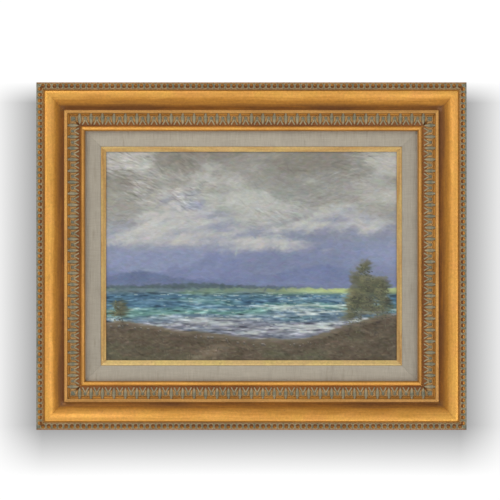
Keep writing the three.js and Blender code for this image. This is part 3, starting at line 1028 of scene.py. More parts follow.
def linen_material():
    """Natural linen: crossed threads of uneven thickness over the wood, bare wood at the back. It carries
    painted shade: a soft shadow beside the sight edge, and darker cloth on the side rails.
    """
    colours = settings("finish_colours")
    material, tree, shader = new_material("Natural linen")
    pitch = 0.00062
    place = object_place(tree)
    parts = new_node(tree, "ShaderNodeSeparateXYZ", {0: place}).outputs
    sway = times(tree, maths(tree, "SUBTRACT", noise(tree, place, 60.0, 3.0), 0.5), 4.0)
    threads = []
    for axis in ("X", "Z"):
        phase = maths(tree, "MULTIPLY_ADD", parts[axis], math.tau / pitch, sway)
        threads.append(maths(tree, "SINE", phase))
    crossing = times(tree, threads[0], threads[1])
    upright = noise(tree, object_place(tree, (1.0, 1.0, 0.05)), 900.0, 2.0, 0.6)
    level = noise(tree, object_place(tree, (0.05, 1.0, 1.0)), 900.0, 2.0, 0.6)
    slubs = noise(tree, object_place(tree, (1.0, 1.0, 0.12)), 220.0, 3.0, 0.6)
    cloth = noise(tree, place, 35.0, 3.0)
    upright_shade = noise_range(tree, upright, 0.91, 1.06)
    shade = times(tree, upright_shade, noise_range(tree, level, 0.93, 1.05))
    shade = times(tree, shade, noise_range(tree, cloth, 0.96, 1.04))
    shade = times(tree, shade, range_map(tree, crossing, -1.0, 1.0, 0.95, 1.04))
    dark = times(tree, range_map(tree, slubs, 0.58, 0.76), 0.55)
    thread = mix(tree, dark, colours.linen, colours.linen_dark)
    sight = Section().sight * MM
    # Painted shadow of the frame's lip and bead on the linen beside the sight edge.
    sight_shadow = range_map(tree, attribute(tree, "across"), sight, sight + 0.008, 0.93, 1.0)
    # Painted shade by side, from the umber amount: darker linen on the side rails.
    side_shade = maths(tree, "MULTIPLY_ADD", attribute(tree, "umber"), -1.0, 1.0)
    shade = times(tree, shade, times(tree, sight_shadow, side_shade))
    cloth_colour = mix(tree, 1.0, thread, grey(tree, shade), "MULTIPLY")
    surface = mix(tree, attribute(tree, "bare"), cloth_colour, wood_tones(tree, colours.bare_wood))
    tree.links.new(surface, shader.inputs["Base Color"])
    shader.inputs["Roughness"].default_value = 0.92
    shader.inputs["Sheen Weight"].default_value = 0.18
    shader.inputs["Sheen Roughness"].default_value = 0.5
    weave = plus(tree, times(tree, crossing, 0.4), plus(tree, upright, level))
    tree.links.new(bump(tree, weave, 0.00018, 0.55), shader.inputs["Normal"])
    return material


def paint_material():
    """Oil paint from the piece's own colours, broken into dabs, with bristle marks and a thin varnish."""
    colours = settings("finish_colours")
    material, tree, shader = new_material("Oil paint")
    paint = new_node(tree, "ShaderNodeAttribute", attribute_name="paint").outputs["Color"]
    place = object_place(tree)
    drift = new_node(tree, "ShaderNodeTexNoise", {"Vector": place, "Scale": 70.0, "Detail": 2.0})
    wander = vector_maths(tree, "MULTIPLY", drift.outputs["Color"], (0.006, 0.0, 0.006))
    bent = vector_maths(tree, "ADD", place, wander)
    inputs = {"Vector": scaled(tree, bent, (0.42, 1.0, 1.0)), "Scale": 420.0, "Randomness": 1.0}
    dabs = new_node(tree, "ShaderNodeTexVoronoi", inputs)
    dab_tone = new_node(tree, "ShaderNodeSeparateColor", {0: dabs.outputs["Color"]}).outputs
    bristles = noise(tree, scaled(tree, bent, (0.10, 1.0, 1.0)), 1500.0, 2.0, 0.6)
    grain = noise(tree, place, 1300.0, 2.0, 0.6)
    dab_light = range_map(tree, dab_tone["Red"], 0, 1, 0.94, 1.06)
    light = times(tree, dab_light, noise_range(tree, bristles, 0.96, 1.04))
    light = times(tree, light, noise_range(tree, grain, 0.95, 1.05))
    toned = mix(tree, 1.0, paint, grey(tree, light), "MULTIPLY")
    red = range_map(tree, dab_tone["Green"], 0, 1, 0.97, 1.03)
    blue = range_map(tree, dab_tone["Blue"], 0, 1, 0.95, 1.05)
    tint = new_node(tree, "ShaderNodeCombineColor", {0: red, 1: 1.0, 2: blue})
    tinted = mix(tree, 1.0, toned, tint.outputs[0], "MULTIPLY")
    fibres = noise(tree, object_place(tree, (1.0, 1.0, 0.5)), 900.0, 4.0, 0.7)
    stains = noise(tree, place, 14.0, 4.0)
    back = times(tree, noise_range(tree, fibres, 0.72, 1.25), noise_range(tree, stains, 0.82, 1.12))
    hardboard = mix(tree, 1.0, colours.board, grey(tree, back), "MULTIPLY")
    surface = mix(tree, attribute(tree, "bare"), tinted, hardboard)
    tree.links.new(surface, shader.inputs["Base Color"])
    tree.links.new(noise_range(tree, bristles, 0.42, 0.58), shader.inputs["Roughness"])
    shader.inputs["Coat Weight"].default_value = 0.12
    shader.inputs["Coat Roughness"].default_value = 0.28
    marks = plus(tree, times(tree, bristles, 0.8), times(tree, dab_tone["Red"], 0.5))
    marks = plus(tree, marks, times(tree, grain, 0.5))
    tree.links.new(bump(tree, marks, 0.00010, 0.5), shader.inputs["Normal"])
    return material


def steel_material():
    """Brass-toned plated steel with fine drawn lines and dull spots."""
    colours = settings("finish_colours")
    material, tree, shader = new_material("Plated steel")
    lines = noise(tree, object_place(tree, (0.05, 1.0, 1.0)), 3000.0, 2.0)
    spots = noise(tree, object_place(tree), 380.0, 4.0, 0.65)
    dull = range_map(tree, spots, 0.5, 0.72)
    shade = grey(tree, noise_range(tree, lines, 0.88, 1.06))
    plated = mix(tree, 1.0, colours.steel, shade, "MULTIPLY")
    tarnished = mix(tree, times(tree, dull, 0.5), plated, colours.umber)
    tree.links.new(tarnished, shader.inputs["Base Color"])
    shader.inputs["Metallic"].default_value = 0.95
    tree.links.new(range_map(tree, dull, 0, 1, 0.30, 0.55), shader.inputs["Roughness"])
    tree.links.new(bump(tree, lines, 0.00004, 0.4), shader.inputs["Normal"])
    return material


# The painted scene, worked out on a grid of places on the board


def lattice_noise(rng, u, v, across, down):
    """Smooth noise between -1 and 1 with the given number of cells across and down."""
    values = rng.uniform(-1, 1, (down + 3, across + 3))
    x, y = np.clip(u, 0, 1) * across, np.clip(v, 0, 1) * down
    column, row = x.astype(int), y.astype(int)
    aside, below = smooth(0, 1, x - column), smooth(0, 1, y - row)
    top = values[row, column] * (1 - aside) + values[row, column + 1] * aside
    bottom = values[row + 1, column] * (1 - aside) + values[row + 1, column + 1] * aside
    return top * (1 - below) + bottom * below


def layered_noise(rng, u, v, across, down, layers):
    total, weight = 0.0, 0.0
    for layer in range(layers):
        scale = 2**layer
        total = total + lattice_noise(rng, u, v, across * scale, down * scale) / scale
        weight += 1 / scale
    return total / weight


def blend_in(base, over, amount):
    return base + (np.asarray(over) - base) * amount[..., None]


def shade_between(first, second, amount):
    return np.asarray(first) + (np.asarray(second) - np.asarray(first)) * amount[..., None]


class Paints:
    """The paints of the scene, as they show on a screen."""

    upper_sky = (0.535, 0.530, 0.505)
    middle_sky = (0.61, 0.61, 0.59)
    lavender = (0.475, 0.515, 0.630)
    teal_haze = (0.53, 0.60, 0.59)
    veil = (0.72, 0.72, 0.70)
    rain_cloud = (0.465, 0.45, 0.41)
    cloud_shade = (0.50, 0.52, 0.61)
    cloud_light = (0.745, 0.745, 0.72)
    far_hill = (0.455, 0.495, 0.630)
    middle_hill = (0.415, 0.460, 0.600)
    near_hill = (0.360, 0.415, 0.540)
    mist = (0.53, 0.57, 0.68)
    far_wood = (0.27, 0.34, 0.37)
    far_water = (0.36, 0.44, 0.47)
    far_light = (0.66, 0.72, 0.50)
    blue_reach = (0.25, 0.40, 0.50)
    turquoise = (0.40, 0.57, 0.55)
    slate = (0.36, 0.46, 0.53)
    near_water = (0.45, 0.46, 0.51)
    foam = (0.78, 0.82, 0.80)
    weed_green = (0.50, 0.62, 0.42)
    wet_earth = (0.43, 0.395, 0.335)
    dark_earth = (0.320, 0.278, 0.212)
    turf = (0.33, 0.34, 0.25)
    worn_path = (0.48, 0.43, 0.36)
    trunk = (0.24, 0.215, 0.175)
    crown_shade = (0.20, 0.215, 0.17)
    crown_light = (0.46, 0.455, 0.33)
    ripple_light = (0.80, 0.83, 0.79)
    ripple_dark = (0.24, 0.34, 0.42)
    tuft = (0.26, 0.25, 0.185)
    dark_leaf = (0.185, 0.20, 0.155)
    leaf_gain = (0.26, 0.25, 0.16)  # what full light adds to the dark leaf
    stone = (0.27, 0.255, 0.24)
    stone_light = (0.58, 0.57, 0.54)


def paint_sky(rng, u, v, shore):
    """A warm grey upper sky that turns lavender towards the far shore."""
    height = v / shore
    top = shade_between(Paints.upper_sky, Paints.middle_sky, smooth(0.0, 0.42, height))
    low = shade_between(top, Paints.lavender, smooth(0.38, 0.74, height))
    drift = layered_noise(rng, u, v, 3, 6, 5)
    sky = low + 0.075 * drift[..., None]
    teal = smooth(0.1, 0.6, layered_noise(rng, u, v, 2, 4, 2)) * smooth(0.7, 0.3, height)
    sky = blend_in(sky, Paints.teal_haze, teal * 0.45)
    heaps = layered_noise(rng, u, v, 4, 7, 6)
    shifted = layered_noise(np.random.default_rng(5), u, v, 9, 13, 4)
    veil = smooth(-0.02, 0.30, heaps + 0.25 * shifted) * smooth(0.85, 0.3, height)
    sky = blend_in(sky, Paints.veil, veil * 0.8)
    dark = smooth(0.0, 0.35, -heaps) * smooth(0.75, 0.1, height)
    return blend_in(sky, Paints.rain_cloud, dark * 0.6)


def paint_cloud_bank(rng, sky, u, v, centre, spread, base, rise, puffs, size):
    """Heaps puffs on a flat base, lit from the upper left, the higher ones behind."""
    for number in range(puffs):
        lift = 1 - number / puffs
        cx = centre + rng.normal() * spread * (1.15 - 0.7 * lift)
        peak = math.exp(-(((cx - centre) / spread) ** 2))
        cy = base - rise * peak * lift * rng.uniform(0.55, 1.0) - 0.012
        radius = size * rng.uniform(0.55, 1.25)
        dx, dy = (u - cx) / (radius * 1.35), (v - cy) / (radius * 0.9)
        inside = np.hypot(dx, dy) + 0.18 * lattice_noise(rng, u, v, 40, 30)
        alpha = smooth(1.0, 0.5, inside) * smooth(base + 0.03, base - 0.05, v)
        lit = np.clip(0.50 - 0.40 * dx - 0.62 * dy, 0, 1)
        tone = shade_between(Paints.cloud_shade, Paints.cloud_light, smooth(0.1, 0.95, lit))
        sky = sky + (tone - sky) * (alpha * 0.55)[..., None]
    return sky


def paint_hills(rng, picture, u, v, shore):
    """Three ranges of lavender hills and a low wooded far shore."""
    # How far the range stands above the shore, its peak's place, width and rise, and its paint
    ranges = (
        (0.110, 0.38, 0.15, 0.085, Paints.far_hill),
        (0.070, 0.74, 0.18, 0.075, Paints.middle_hill),
        (0.030, 0.10, 0.22, 0.065, Paints.near_hill),
    )
    for lift, peak_place, peak_width, peak_rise, tone in ranges:
        line = shore - lift - peak_rise * np.exp(-np.abs((u - peak_place) / peak_width) ** 1.6)
        line = line + 0.55 * lift * layered_noise(rng, u, v * 0, 7, 1, 4) + 0.5 * lift
        cover = smooth(line - 0.008, line + 0.010, v)
        slopes = 0.030 * layered_noise(rng, u + 0.35 * v, v, 26, 10, 3)
        mist = smooth(0.05, 0.0, shore - v) * 0.35
        hill = blend_in(np.array(tone) + slopes[..., None], Paints.mist, mist)
        picture = blend_in(picture, hill, cover * 0.92)
    wood = shore - 0.010 - 0.012 * np.abs(layered_noise(rng, u, v * 0, 30, 1, 3))
    wood = wood - 0.014 * np.exp(-(((u - 0.30) / 0.12) ** 2))
    cover = smooth(wood - 0.003, wood + 0.004, v) * smooth(0.80, 0.45, u)
    tone = np.array(Paints.far_wood) + 0.035 * lattice_noise(rng, u, v, 70, 60)[..., None]
    return blend_in(picture, tone, cover)


def paint_water(rng, picture, u, v, shore, bank):
    """A lake with a pale green far light, blue and turquoise reaches and level ripples."""
    depth = np.clip((v - shore) / (bank - shore), 0, 1)
    ripples = layered_noise(rng, u, v, 10, 110, 3)
    reach = layered_noise(rng, u, v, 3, 20, 3)
    light = smooth(0.35, 0.8, u)
    far = shade_between(Paints.far_water, Paints.far_light, light)
    water = shade_between(far, Paints.blue_reach, smooth(0.05, 0.20, depth))
    water = shade_between(water, Paints.turquoise, smooth(0.30, 0.50, depth + 0.35 * reach))
    water = shade_between(water, Paints.slate, smooth(0.55, 0.68, depth + 0.30 * reach))
    water = shade_between(water, Paints.near_water, smooth(0.72, 0.95, depth + 0.20 * reach))
    water = water + 0.075 * ripples[..., None]
    glow = smooth(0.05, 0.50, ripples + 0.5 * reach) * smooth(0.15, 0.5, depth)
    water = blend_in(water, Paints.foam, glow * (0.62 + 0.25 * light))
    green = smooth(0.2, 0.6, layered_noise(rng, u, v, 5, 26, 2)) * smooth(0.6, 0.25, depth)
    water = blend_in(water, Paints.weed_green, green * 0.4)
    return blend_in(picture, water, smooth(shore - 0.002, shore + 0.002, v))


def paint_bank(rng, picture, u, v, bank_line):
    """A dark earth bank with a paler worn path and a wet edge."""
    depth = np.clip((v - bank_line) / 0.15, 0, 1)
    clods = layered_noise(rng, u, v, 16, 34, 4)
    earth = shade_between(Paints.wet_earth, Paints.dark_earth, smooth(0.0, 0.25, depth))
    earth = earth + 0.060 * clods[..., None]
    turf = smooth(0.1, 0.5, layered_noise(rng, u, v, 7, 16, 3)) * smooth(0.05, 0.3, depth)
    earth = blend_in(earth, Paints.turf, turf * 0.6)
    path = np.exp(-(((u - 0.46 + 1.3 * (v - 0.88)) / (0.018 + 0.20 * np.clip(v - 0.80, 0, 1))) ** 2))
    earth = blend_in(earth, Paints.worn_path, path * smooth(0.15, 0.5, depth) * 0.7)
    return blend_in(picture, earth, smooth(bank_line - 0.003, bank_line + 0.005, v))


def paint_trees(rng, picture, u, v, trees):
    """Small trees with thin leaning trunks and loose crowns. trees is [(foot u, foot v, height)]."""
    for foot_u, foot_v, tall in trees:
        lean = rng.uniform(-0.10, 0.16)
        rise = (foot_v - v) / tall
        trunk_u = foot_u + lean * tall * rise + 0.004 * np.sin(rise * 7)
        trunk = smooth(0.0042, 0.0014, np.abs(u - trunk_u)) * (rise > 0) * (rise < 0.8)
        picture = blend_in(picture, Paints.trunk, trunk * 0.9)
        for _ in range(26):
            up = rng.uniform(0.42, 1.02)
            cx = foot_u + lean * tall * up + rng.normal() * 0.13 * tall * (1.25 - up)
            cy = foot_v - tall * up
            radius = tall * rng.uniform(0.05, 0.12)
            dx, dy = (u - cx) / radius, (v - cy) / (radius * 1.15)
            inside = np.hypot(dx, dy) + 0.35 * lattice_noise(rng, u, v, 90, 70)
            lit = np.clip(0.45 - 0.4 * dx - 0.5 * dy, 0, 1)
            tone = shade_between(Paints.crown_shade, Paints.crown_light, lit)
            picture = picture + (tone - picture) * (smooth(1.0, 0.55, inside) * 0.7)[..., None]
    return picture


# Each tree's foot, across and down, and its height, as shares of the painting
TREES = ((0.870, 0.87, 0.33), (0.925, 0.88, 0.27), (0.832, 0.88, 0.20), (0.055, 0.85, 0.15))


def wanted_picture(look, rng, u, v):
    """The whole scene as smooth colour areas, before the brush strokes."""
    shore = look.far_shore
    bank_line = look.near_bank + 0.050 * smooth(0.10, 0.60, u) - 0.115 * smooth(0.62, 1.0, u)
    bank_line = bank_line - 0.035 * smooth(0.30, 0.0, u) + 0.006 * lattice_noise(rng, u, v * 0, 16, 1)
    picture = paint_sky(rng, u, v, shore)
    # Each bank's centre, spread, base and rise, the number of its puffs and their size
    banks = (
        (0.80, 0.15, 0.40, 0.14, 46, 0.042),
        (0.27, 0.16, 0.47, 0.30, 110, 0.052),
        (0.60, 0.10, 0.49, 0.09, 30, 0.030),
    )
    for centre, spread, base, rise, puffs, size in banks:
        picture = paint_cloud_bank(rng, picture, u, v, centre, spread, base, rise, puffs, size)
    picture = paint_hills(rng, picture, u, v, shore)
    picture = paint_water(rng, picture, u, v, shore, look.near_bank)
    picture = paint_bank(rng, picture, u, v, bank_line)
    return paint_trees(rng, picture, u, v, TREES), bank_line


def stroke_cells(shape, cx, cy, long, angle):
    """The cells around a stroke, as slices, and how far each lies along and beside it."""
    rows, columns = shape
    column, row, reach = int(cx), int(cy), int(long + 2)
    cells = (
        slice(max(row - reach, 0), min(row + reach + 1, rows)),
        slice(max(column - reach, 0), min(column + reach + 1, columns)),
    )
    y, x = np.mgrid[cells]
    dx, dy = x - cx, y - cy
    along = dx * math.cos(angle) + dy * math.sin(angle)
    beside = -dx * math.sin(angle) + dy * math.cos(angle)
    return cells, along, beside


def brush_strokes(look, rng, wanted, bank_line):
    """Lays strokes of the wanted colours over an underpainting. Returns its colours and heights."""
    rows, columns = wanted.shape[:2]
    canvas = wanted.copy()
    height = np.zeros((rows, columns))
    unrest_stops = (0.0, 0.35, 0.50, look.far_shore, look.far_shore + 0.01)
    unrest = (0.016, 0.014, 0.007, 0.007, 0.028)
    for _ in range(look.strokes):
        cx, cy = rng.uniform(0, columns - 1), rng.uniform(0, rows - 1)
        column, row = int(cx), int(cy)
        v = row / rows
        bank = bank_line[row, column]
        if v < look.far_shore - 0.10:
            angle, long, wide = rng.normal(-0.12, 0.5), rng.uniform(2.5, 7), rng.uniform(1.0, 2.0)
        elif v < look.far_shore:
            angle, long, wide = rng.normal(0.1, 0.4), rng.uniform(2, 5), rng.uniform(0.8, 1.6)
        elif v < bank:
            angle, long, wide = rng.normal(0, 0.05), rng.uniform(2, 7), rng.uniform(0.6, 1.1)
        else:
            angle, long, wide = rng.normal(0.06, 0.3), rng.uniform(1.5, 5), rng.uniform(0.7, 1.4)
        cells, along, beside = stroke_cells((rows, columns), cx, cy, long, angle)
        mark = np.exp(-((along / long) ** 4) - (beside / wide) ** 4) * rng.uniform(0.5, 0.9)
        spread = np.interp(v, unrest_stops, unrest)
        tone = wanted[row, column] + rng.normal(0, 0.009, 3) + rng.normal(0, spread)
        patch = canvas[cells]
        patch += (tone - patch) * mark[..., None]
        ridge = rng.uniform(0.1, 1.0) * (0.75 + 0.25 * np.cos(beside * 3.1))
        lift = height[cells]
        lift += (ridge - lift) * mark
    return canvas, height


def fine_strokes(look, rng, canvas, bank_line, count):
    """Thin dry strokes, lighter and darker than what they cross: wisps above, ripples and clods below."""
    rows, columns = canvas.shape[:2]
    fine = 0.62  # half the width of a stroke, in cells
    down, across = np.mgrid[0:1 : rows * 1j, 0:1 : columns * 1j]
    flow = layered_noise(rng, across, down, 4, 5, 2)
    cluster = smooth(-0.1, 0.45, layered_noise(rng, across, down, 7, 9, 3))
    for _ in range(count):
        cx, cy = rng.uniform(0, columns - 1), rng.uniform(0, rows - 1)
        column, row = int(cx), int(cy)
        v = row / rows
        if v < look.far_shore:
            amount = (0.010 + 0.034 * cluster[row, column]) * (1 - smooth(0.26, 0.46, v))
            angle, long = rng.normal(1.1 * flow[row, column], 0.22), rng.uniform(2, 8)
        elif v < bank_line[row, column]:
            red, _, blue = canvas[row, column]
            wet = blue > red + 0.04
            amount, angle, long = 0.085 if wet else 0.0, rng.normal(0, 0.07), rng.uniform(2, 7)
        else:
            amount, angle, long = 0.040, rng.normal(0.05, 0.35), rng.uniform(1, 3.5)
        light = rng.normal(0, 1)
        if amount < 0.004:
            continue
        cells, along, beside = stroke_cells((rows, columns), cx, cy, long, angle)
        mark = np.exp(-((along / long) ** 4) - (beside / fine) ** 2)
        canvas[cells] += (mark * light * amount)[..., None]
    return canvas


def touch(canvas, height, rows, columns, tone, strength, raised):
    """One small opaque touch of paint over the cells given by two slices."""
    patch = canvas[rows, columns]
    patch += (np.asarray(tone) - patch) * strength
    height[rows, columns] = np.maximum(height[rows, columns], raised)


def scattered_marks(look, rng, canvas, height, bank_line):
    """Ripple lights on the water, tufts on the bank and some stones at the water's edge."""
    rows, columns = canvas.shape[:2]
    ripples, tufts, leaves, stones = 420, 520, 900, 34
    for _ in range(ripples):
        column = int(columns * np.clip(rng.normal(0.62, 0.24), 0, 0.99))
        row = int(rows * (look.far_shore + 0.015 + 0.16 * rng.uniform() ** 1.3))
        red, _, blue = canvas[row, column]
        if row / rows > bank_line[row, column] - 0.012 or blue < red + 0.05:
            continue
        span = slice(max(column - int(rng.uniform(1, 4)), 0), column + int(rng.uniform(1, 4)))
        tone = Paints.ripple_light if rng.uniform() < 0.6 else Paints.ripple_dark
        touch(canvas, height, slice(row, row + 1), span, tone, rng.uniform(0.15, 0.55), 0.8)
    for _ in range(tufts):
        column = int(rng.uniform(0, columns - 2))
        row = min(int(rows * (bank_line[0, column] + 0.01 + rng.uniform(0.0, 0.16))), rows - 1)
        tall = int(rng.uniform(1, 4)) + 3 * (rng.uniform() < 0.12)
        tone = np.array(Paints.tuft) + rng.uniform(-0.04, 0.16)
        span = slice(max(row - tall, 0), row)
        touch(canvas, height, span, slice(column, column + 1), tone, rng.uniform(0.3, 0.75), 0.9)
    for foot_u, foot_v, tall in TREES:
        for _ in range(int(leaves * tall)):
            up = rng.uniform(0.38, 1.0)
            column = int(columns * (foot_u + rng.normal() * 0.11 * tall * (1.2 - up)))
            row = int(rows * (foot_v - tall * up))
            if not 0 < column < columns - 2:
                continue
            towards_light = 0.5 * (foot_u * columns - column) / (0.1 * tall * columns)
            lit = smooth(-0.5, 0.6, towards_light + rng.normal() * 0.4)
            tone = np.array(Paints.dark_leaf) + lit * np.array(Paints.leaf_gain)
            span = slice(column, column + int(rng.uniform(1, 3)))
            touch(canvas, height, slice(row, row + 1), span, tone, rng.uniform(0.4, 0.85), 0.95)
    for _ in range(stones):
        column = int(rng.uniform(2, columns * 0.7))
        row = int(rows * bank_line[0, column]) + int(rng.uniform(-1, 3))
        wide = int(rng.uniform(1, 4))
        span = slice(column, column + wide)
        touch(canvas, height, slice(row, row + 2), span, Paints.stone, 0.7, 0.9)
        touch(canvas, height, slice(row - 1, row), span, Paints.stone_light, 0.6, 1.0)
    return canvas, height


BOARD_COLUMNS, BOARD_ROWS = 360, 263  # cells of the painted front


def linear(srgb):
    """Colours as a screen shows them, made the linear ones that a material reads."""
    srgb = np.clip(srgb, 0, 1)
    return np.where(srgb <= 0.04045, srgb / 12.92, ((srgb + 0.055) / 1.055) ** 2.4)


def board_mesh(name, columns, rows):
    """The board with its painted front as a fine grid, and its edges and back as plain faces."""
    look = settings("painting_look")
    low, high = node_span("painted_panel")
    section = Section()
    u, v = np.meshgrid(np.linspace(0, 1, columns + 1), np.linspace(0, 1, rows + 1))
    rng = np.random.default_rng(look.seed)
    hidden = section.slip_inner - (OUTER_HIGH[0] - high[0])  # the edge that lies under the slip
    width, tall = high[0] - low[0], high[2] - low[2]
    across = (u * width - hidden) / (width - 2 * hidden)
    down = (v * tall - hidden) / (tall - 2 * hidden)
    wanted, bank_line = wanted_picture(look, rng, np.clip(across, 0, 1), np.clip(down, 0, 1))
    canvas, height = brush_strokes(look, rng, wanted, bank_line)
    canvas = fine_strokes(look, rng, canvas, bank_line, look.strokes)
    canvas, height = scattered_marks(look, rng, canvas, height, bank_line)

    clearance = 0.02  # keeps the thickest paint behind the face of the solid
    front = low[1] + clearance + (1 - np.clip(height, 0, 1)) * look.impasto / MM
    grid = np.stack([low[0] + u * width, front, high[2] - v * tall], axis=-1).reshape(-1, 3)
    count = (columns + 1) * (rows + 1)
    index = np.arange(count).reshape(rows + 1, columns + 1)
    a, b = index[:-1, :-1].ravel(), index[1:, :-1].ravel()
    c, d = index[1:, 1:].ravel(), index[:-1, 1:].ravel()
    faces = np.stack([a, b, c, d], axis=1).tolist()
    corners = [(low[0], high[2]), (low[0], low[2]), (high[0], low[2]), (high[0], high[2])]
    back = [(x, high[1], z) for x, z in corners]
    top_left, bottom_left, bottom_right, top_right = range(count, count + 4)
    faces.append([*index[:, 0][::-1].tolist(), top_left, bottom_left])
    faces.append([*index[-1, :][::-1].tolist(), bottom_left, bottom_right])
    faces.append([*index[:, -1].tolist(), bottom_right, top_right])
    faces.append([*index[0, :].tolist(), top_right, top_left])
    faces.append([top_left, top_right, bottom_right, bottom_left])
    mesh = bpy.data.meshes.new(name)
    mesh.from_pydata((np.vstack([grid, back]) * MM).tolist(), [], faces)
    colours = np.ones((count + 4, 4))
    colours[:count, :3] = linear(canvas).reshape(-1, 3)
    set_attribute(mesh, "paint", "POINT", colours, "FLOAT_COLOR")
    bare = np.zeros(len(faces))
    bare[-5:] = 1
    set_attribute(mesh, "bare", "FACE", bare)
    return mesh


def board_texture(mesh):
    """The board's UV map: the front large, the back and the edges small above it."""
    low, high = node_span("painted_panel")
    width, depth = (high[0] - low[0]) * MM, (high[1] - low[1]) * MM
    ratio = (high[2] - low[2]) / (high[0] - low[0])
    layer = mesh.uv_layers.new(name="OFBake")
    margin = 0.01
    back_scale, back_left, back_gap = 0.25, 0.02, 0.03
    side_left, side_width, side_gap, side_step, side_height = 0.5, 0.45, 0.05, 0.02, 0.015
    uv = np.zeros((len(mesh.loops), 2), dtype=np.float32)
    places = vertex_places(mesh)[corner_vertices(mesh)]
    x, z = (places[:, 0] - low[0] * MM) / width, (places[:, 2] - low[2] * MM) / width
    y = (places[:, 1] - low[1] * MM) / depth
    uv[:, 0] = margin + x * (1 - 2 * margin)
    uv[:, 1] = margin + z * (1 - 2 * margin)
    sides = [p for p in mesh.polygons if len(p.vertices) > 4]
    for number, face in enumerate(sides):
        run = z if number in (0, 2) else x
        base = ratio + side_gap + side_step * number
        for loop in face.loop_indices:
            uv[loop] = (side_left + side_width * run[loop], base + side_height * y[loop])
    for loop in mesh.polygons[-1].loop_indices:
        uv[loop] = (back_left + back_scale * x[loop], ratio + back_gap + back_scale * z[loop])
    layer.data.foreach_set("uv", uv.ravel())


# Small metal pieces at the back


def point_row_tree():
    """The node tree of the flat points that hold a board or a liner in its rabbet along one side."""
    inputs = {
        "Geometry": "Geometry",
        "Point": "Object",
        "Count": "Int",
        "Spacing": "Float",
        "Twist": "Float",
        "Seed": "Int",
        "Finish": "Material",
    }
    tree, given = start_tree("Row of glazier points", inputs, "Points")
    last = maths(tree, "SUBTRACT", given["Count"], 1.0)
    first = times(tree, times(tree, last, given["Spacing"]), -0.5)
    line = line_of_points(tree, given["Count"], given["Spacing"], first)
    low = times(tree, given["Twist"], -1.0)
    spin = new_node(tree, "FunctionNodeRandomValue", {"Seed": given["Seed"]}, data_type="FLOAT")
    least, most = spin.inputs[2], spin.inputs[3]  # by number: other types' sockets share their names
    tree.links.new(low, least)
    tree.links.new(given["Twist"], most)
    turn = vector_of(tree, Z=spin.outputs[1])
    row = copies_on(tree, line, given["Point"], Rotation=turn)
    end_tree(tree, row, given["Finish"])
    return tree


def flat_shape(name, outline, low, high, bevel):
    """A flat plate of the given outline, in millimetres, with softened edges."""
    shape = bmesh.new()
    bottom = [shape.verts.new((x * MM, y * MM, low * MM)) for x, y in outline]
    base = shape.faces.new(bottom)
    raised = bmesh.ops.extrude_face_region(shape, geom=[base])
    lifted = [v for v in raised["geom"] if isinstance(v, bmesh.types.BMVert)]
    bmesh.ops.translate(shape, verts=lifted, vec=(0, 0, (high - low) * MM))
    bmesh.ops.bevel(shape, geom=shape.edges[:], offset=bevel * MM, segments=2, affect="EDGES")
    bmesh.ops.recalc_face_normals(shape, faces=shape.faces[:])
    mesh = bpy.data.meshes.new(name)
    shape.to_mesh(mesh)
    shape.free()
    return mesh


def point_rows(name, inset, height, per_metre, material):
    """Points along all four sides. inset is how far in from the outer edge their middles lie, and height is
    their place above the back."""
    tree = bpy.data.node_groups.get("Row of glazier points") or point_row_tree()
    half_width, tip, tail, tail_half = 5.0, 6.5, 6.0, 0.9
    outline = [(-half_width, 0.0), (0.0, -tip), (half_width, 0.0), (tail_half, tail), (-tail_half, tail)]
    thickness, bevel = 0.7, 0.12
    plate = loose_object(name + "_plate", flat_shape(name, outline, height - thickness, height, bevel))
    rows = []
    for number, side in enumerate(SIDE_TURNS):
        run = rail_length(side) - 2 * inset
        count = max(2, round(run * MM * per_metre))
        values = {
            "Point": plate,
            "Count": count,
            "Spacing": run / count * MM,
            "Twist": 0.16,
            "Seed": number + 3,
            "Finish": material,
        }
        source = loose_object(name + "_" + side, bpy.data.meshes.new(name))
        mesh = grown_mesh(source, tree, values)
        mesh.transform(Matrix.Translation(Vector((0, inset * MM, 0))))
        place_on_side(mesh, side)
        rows.append(mesh)
    bpy.data.objects.remove(plate)
    return joined_piece(name, rows)


def joined_piece(name, meshes):
    """One piece of several meshes, riding on the root."""
    shape = bmesh.new()
    for mesh in meshes:
        shape.from_mesh(mesh)
    whole = bpy.data.meshes.new(name)
    shape.to_mesh(whole)
    shape.free()
    for material in meshes[0].materials:
        whole.materials.append(material)
    piece = loose_object(name, whole)
    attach(piece, "root")
    return piece


def screw_mesh(low, high):
    """A pan-head screw in the place of one CAD screw, from the corners of its box."""
    shape = bmesh.new()
    radius = (high[0] - low[0]) / 2
    middle = (low + high) / 2
    tip, shank, point_length = 0.15, 1.15, 2.2
    head_rise, rim_rise, shoulder_rise, crown_fall = 1.4, 0.45, 1.0, 0.06
    head_base, top = high[1] - head_rise, high[1]
    turns = 32
    profile = [
        (tip, low[1]),
        (shank, low[1] + point_length),
        (shank, head_base),
        (radius, head_base),
        (radius, head_base + rim_rise),
        (radius * 0.86, head_base + shoulder_rise),
        (radius * 0.5, top - crown_fall),
        (radius * 0.30, top),
    ]
    rings = []
    for reach, y in profile:
        ring = []
        for step in range(turns):
            angle = math.tau * step / turns
            x = middle[0] + reach * math.cos(angle)
            z = middle[2] + reach * math.sin(angle)
            ring.append(shape.verts.new((x * MM, y * MM, z * MM)))
        rings.append(ring)
    for first, second in zip(rings, rings[1:]):
        for step in range(turns):
            after = (step + 1) % turns
            shape.faces.new((first[step], first[after], second[after], second[step]))
    shape.faces.new(rings[0])
    shape.faces.new(rings[-1])
    bmesh.ops.recalc_face_normals(shape, faces=shape.faces[:])
    mesh = bpy.data.meshes.new("Screw")
    shape.to_mesh(mesh)
    shape.free()
    return mesh


# Operators: one for each group of pieces


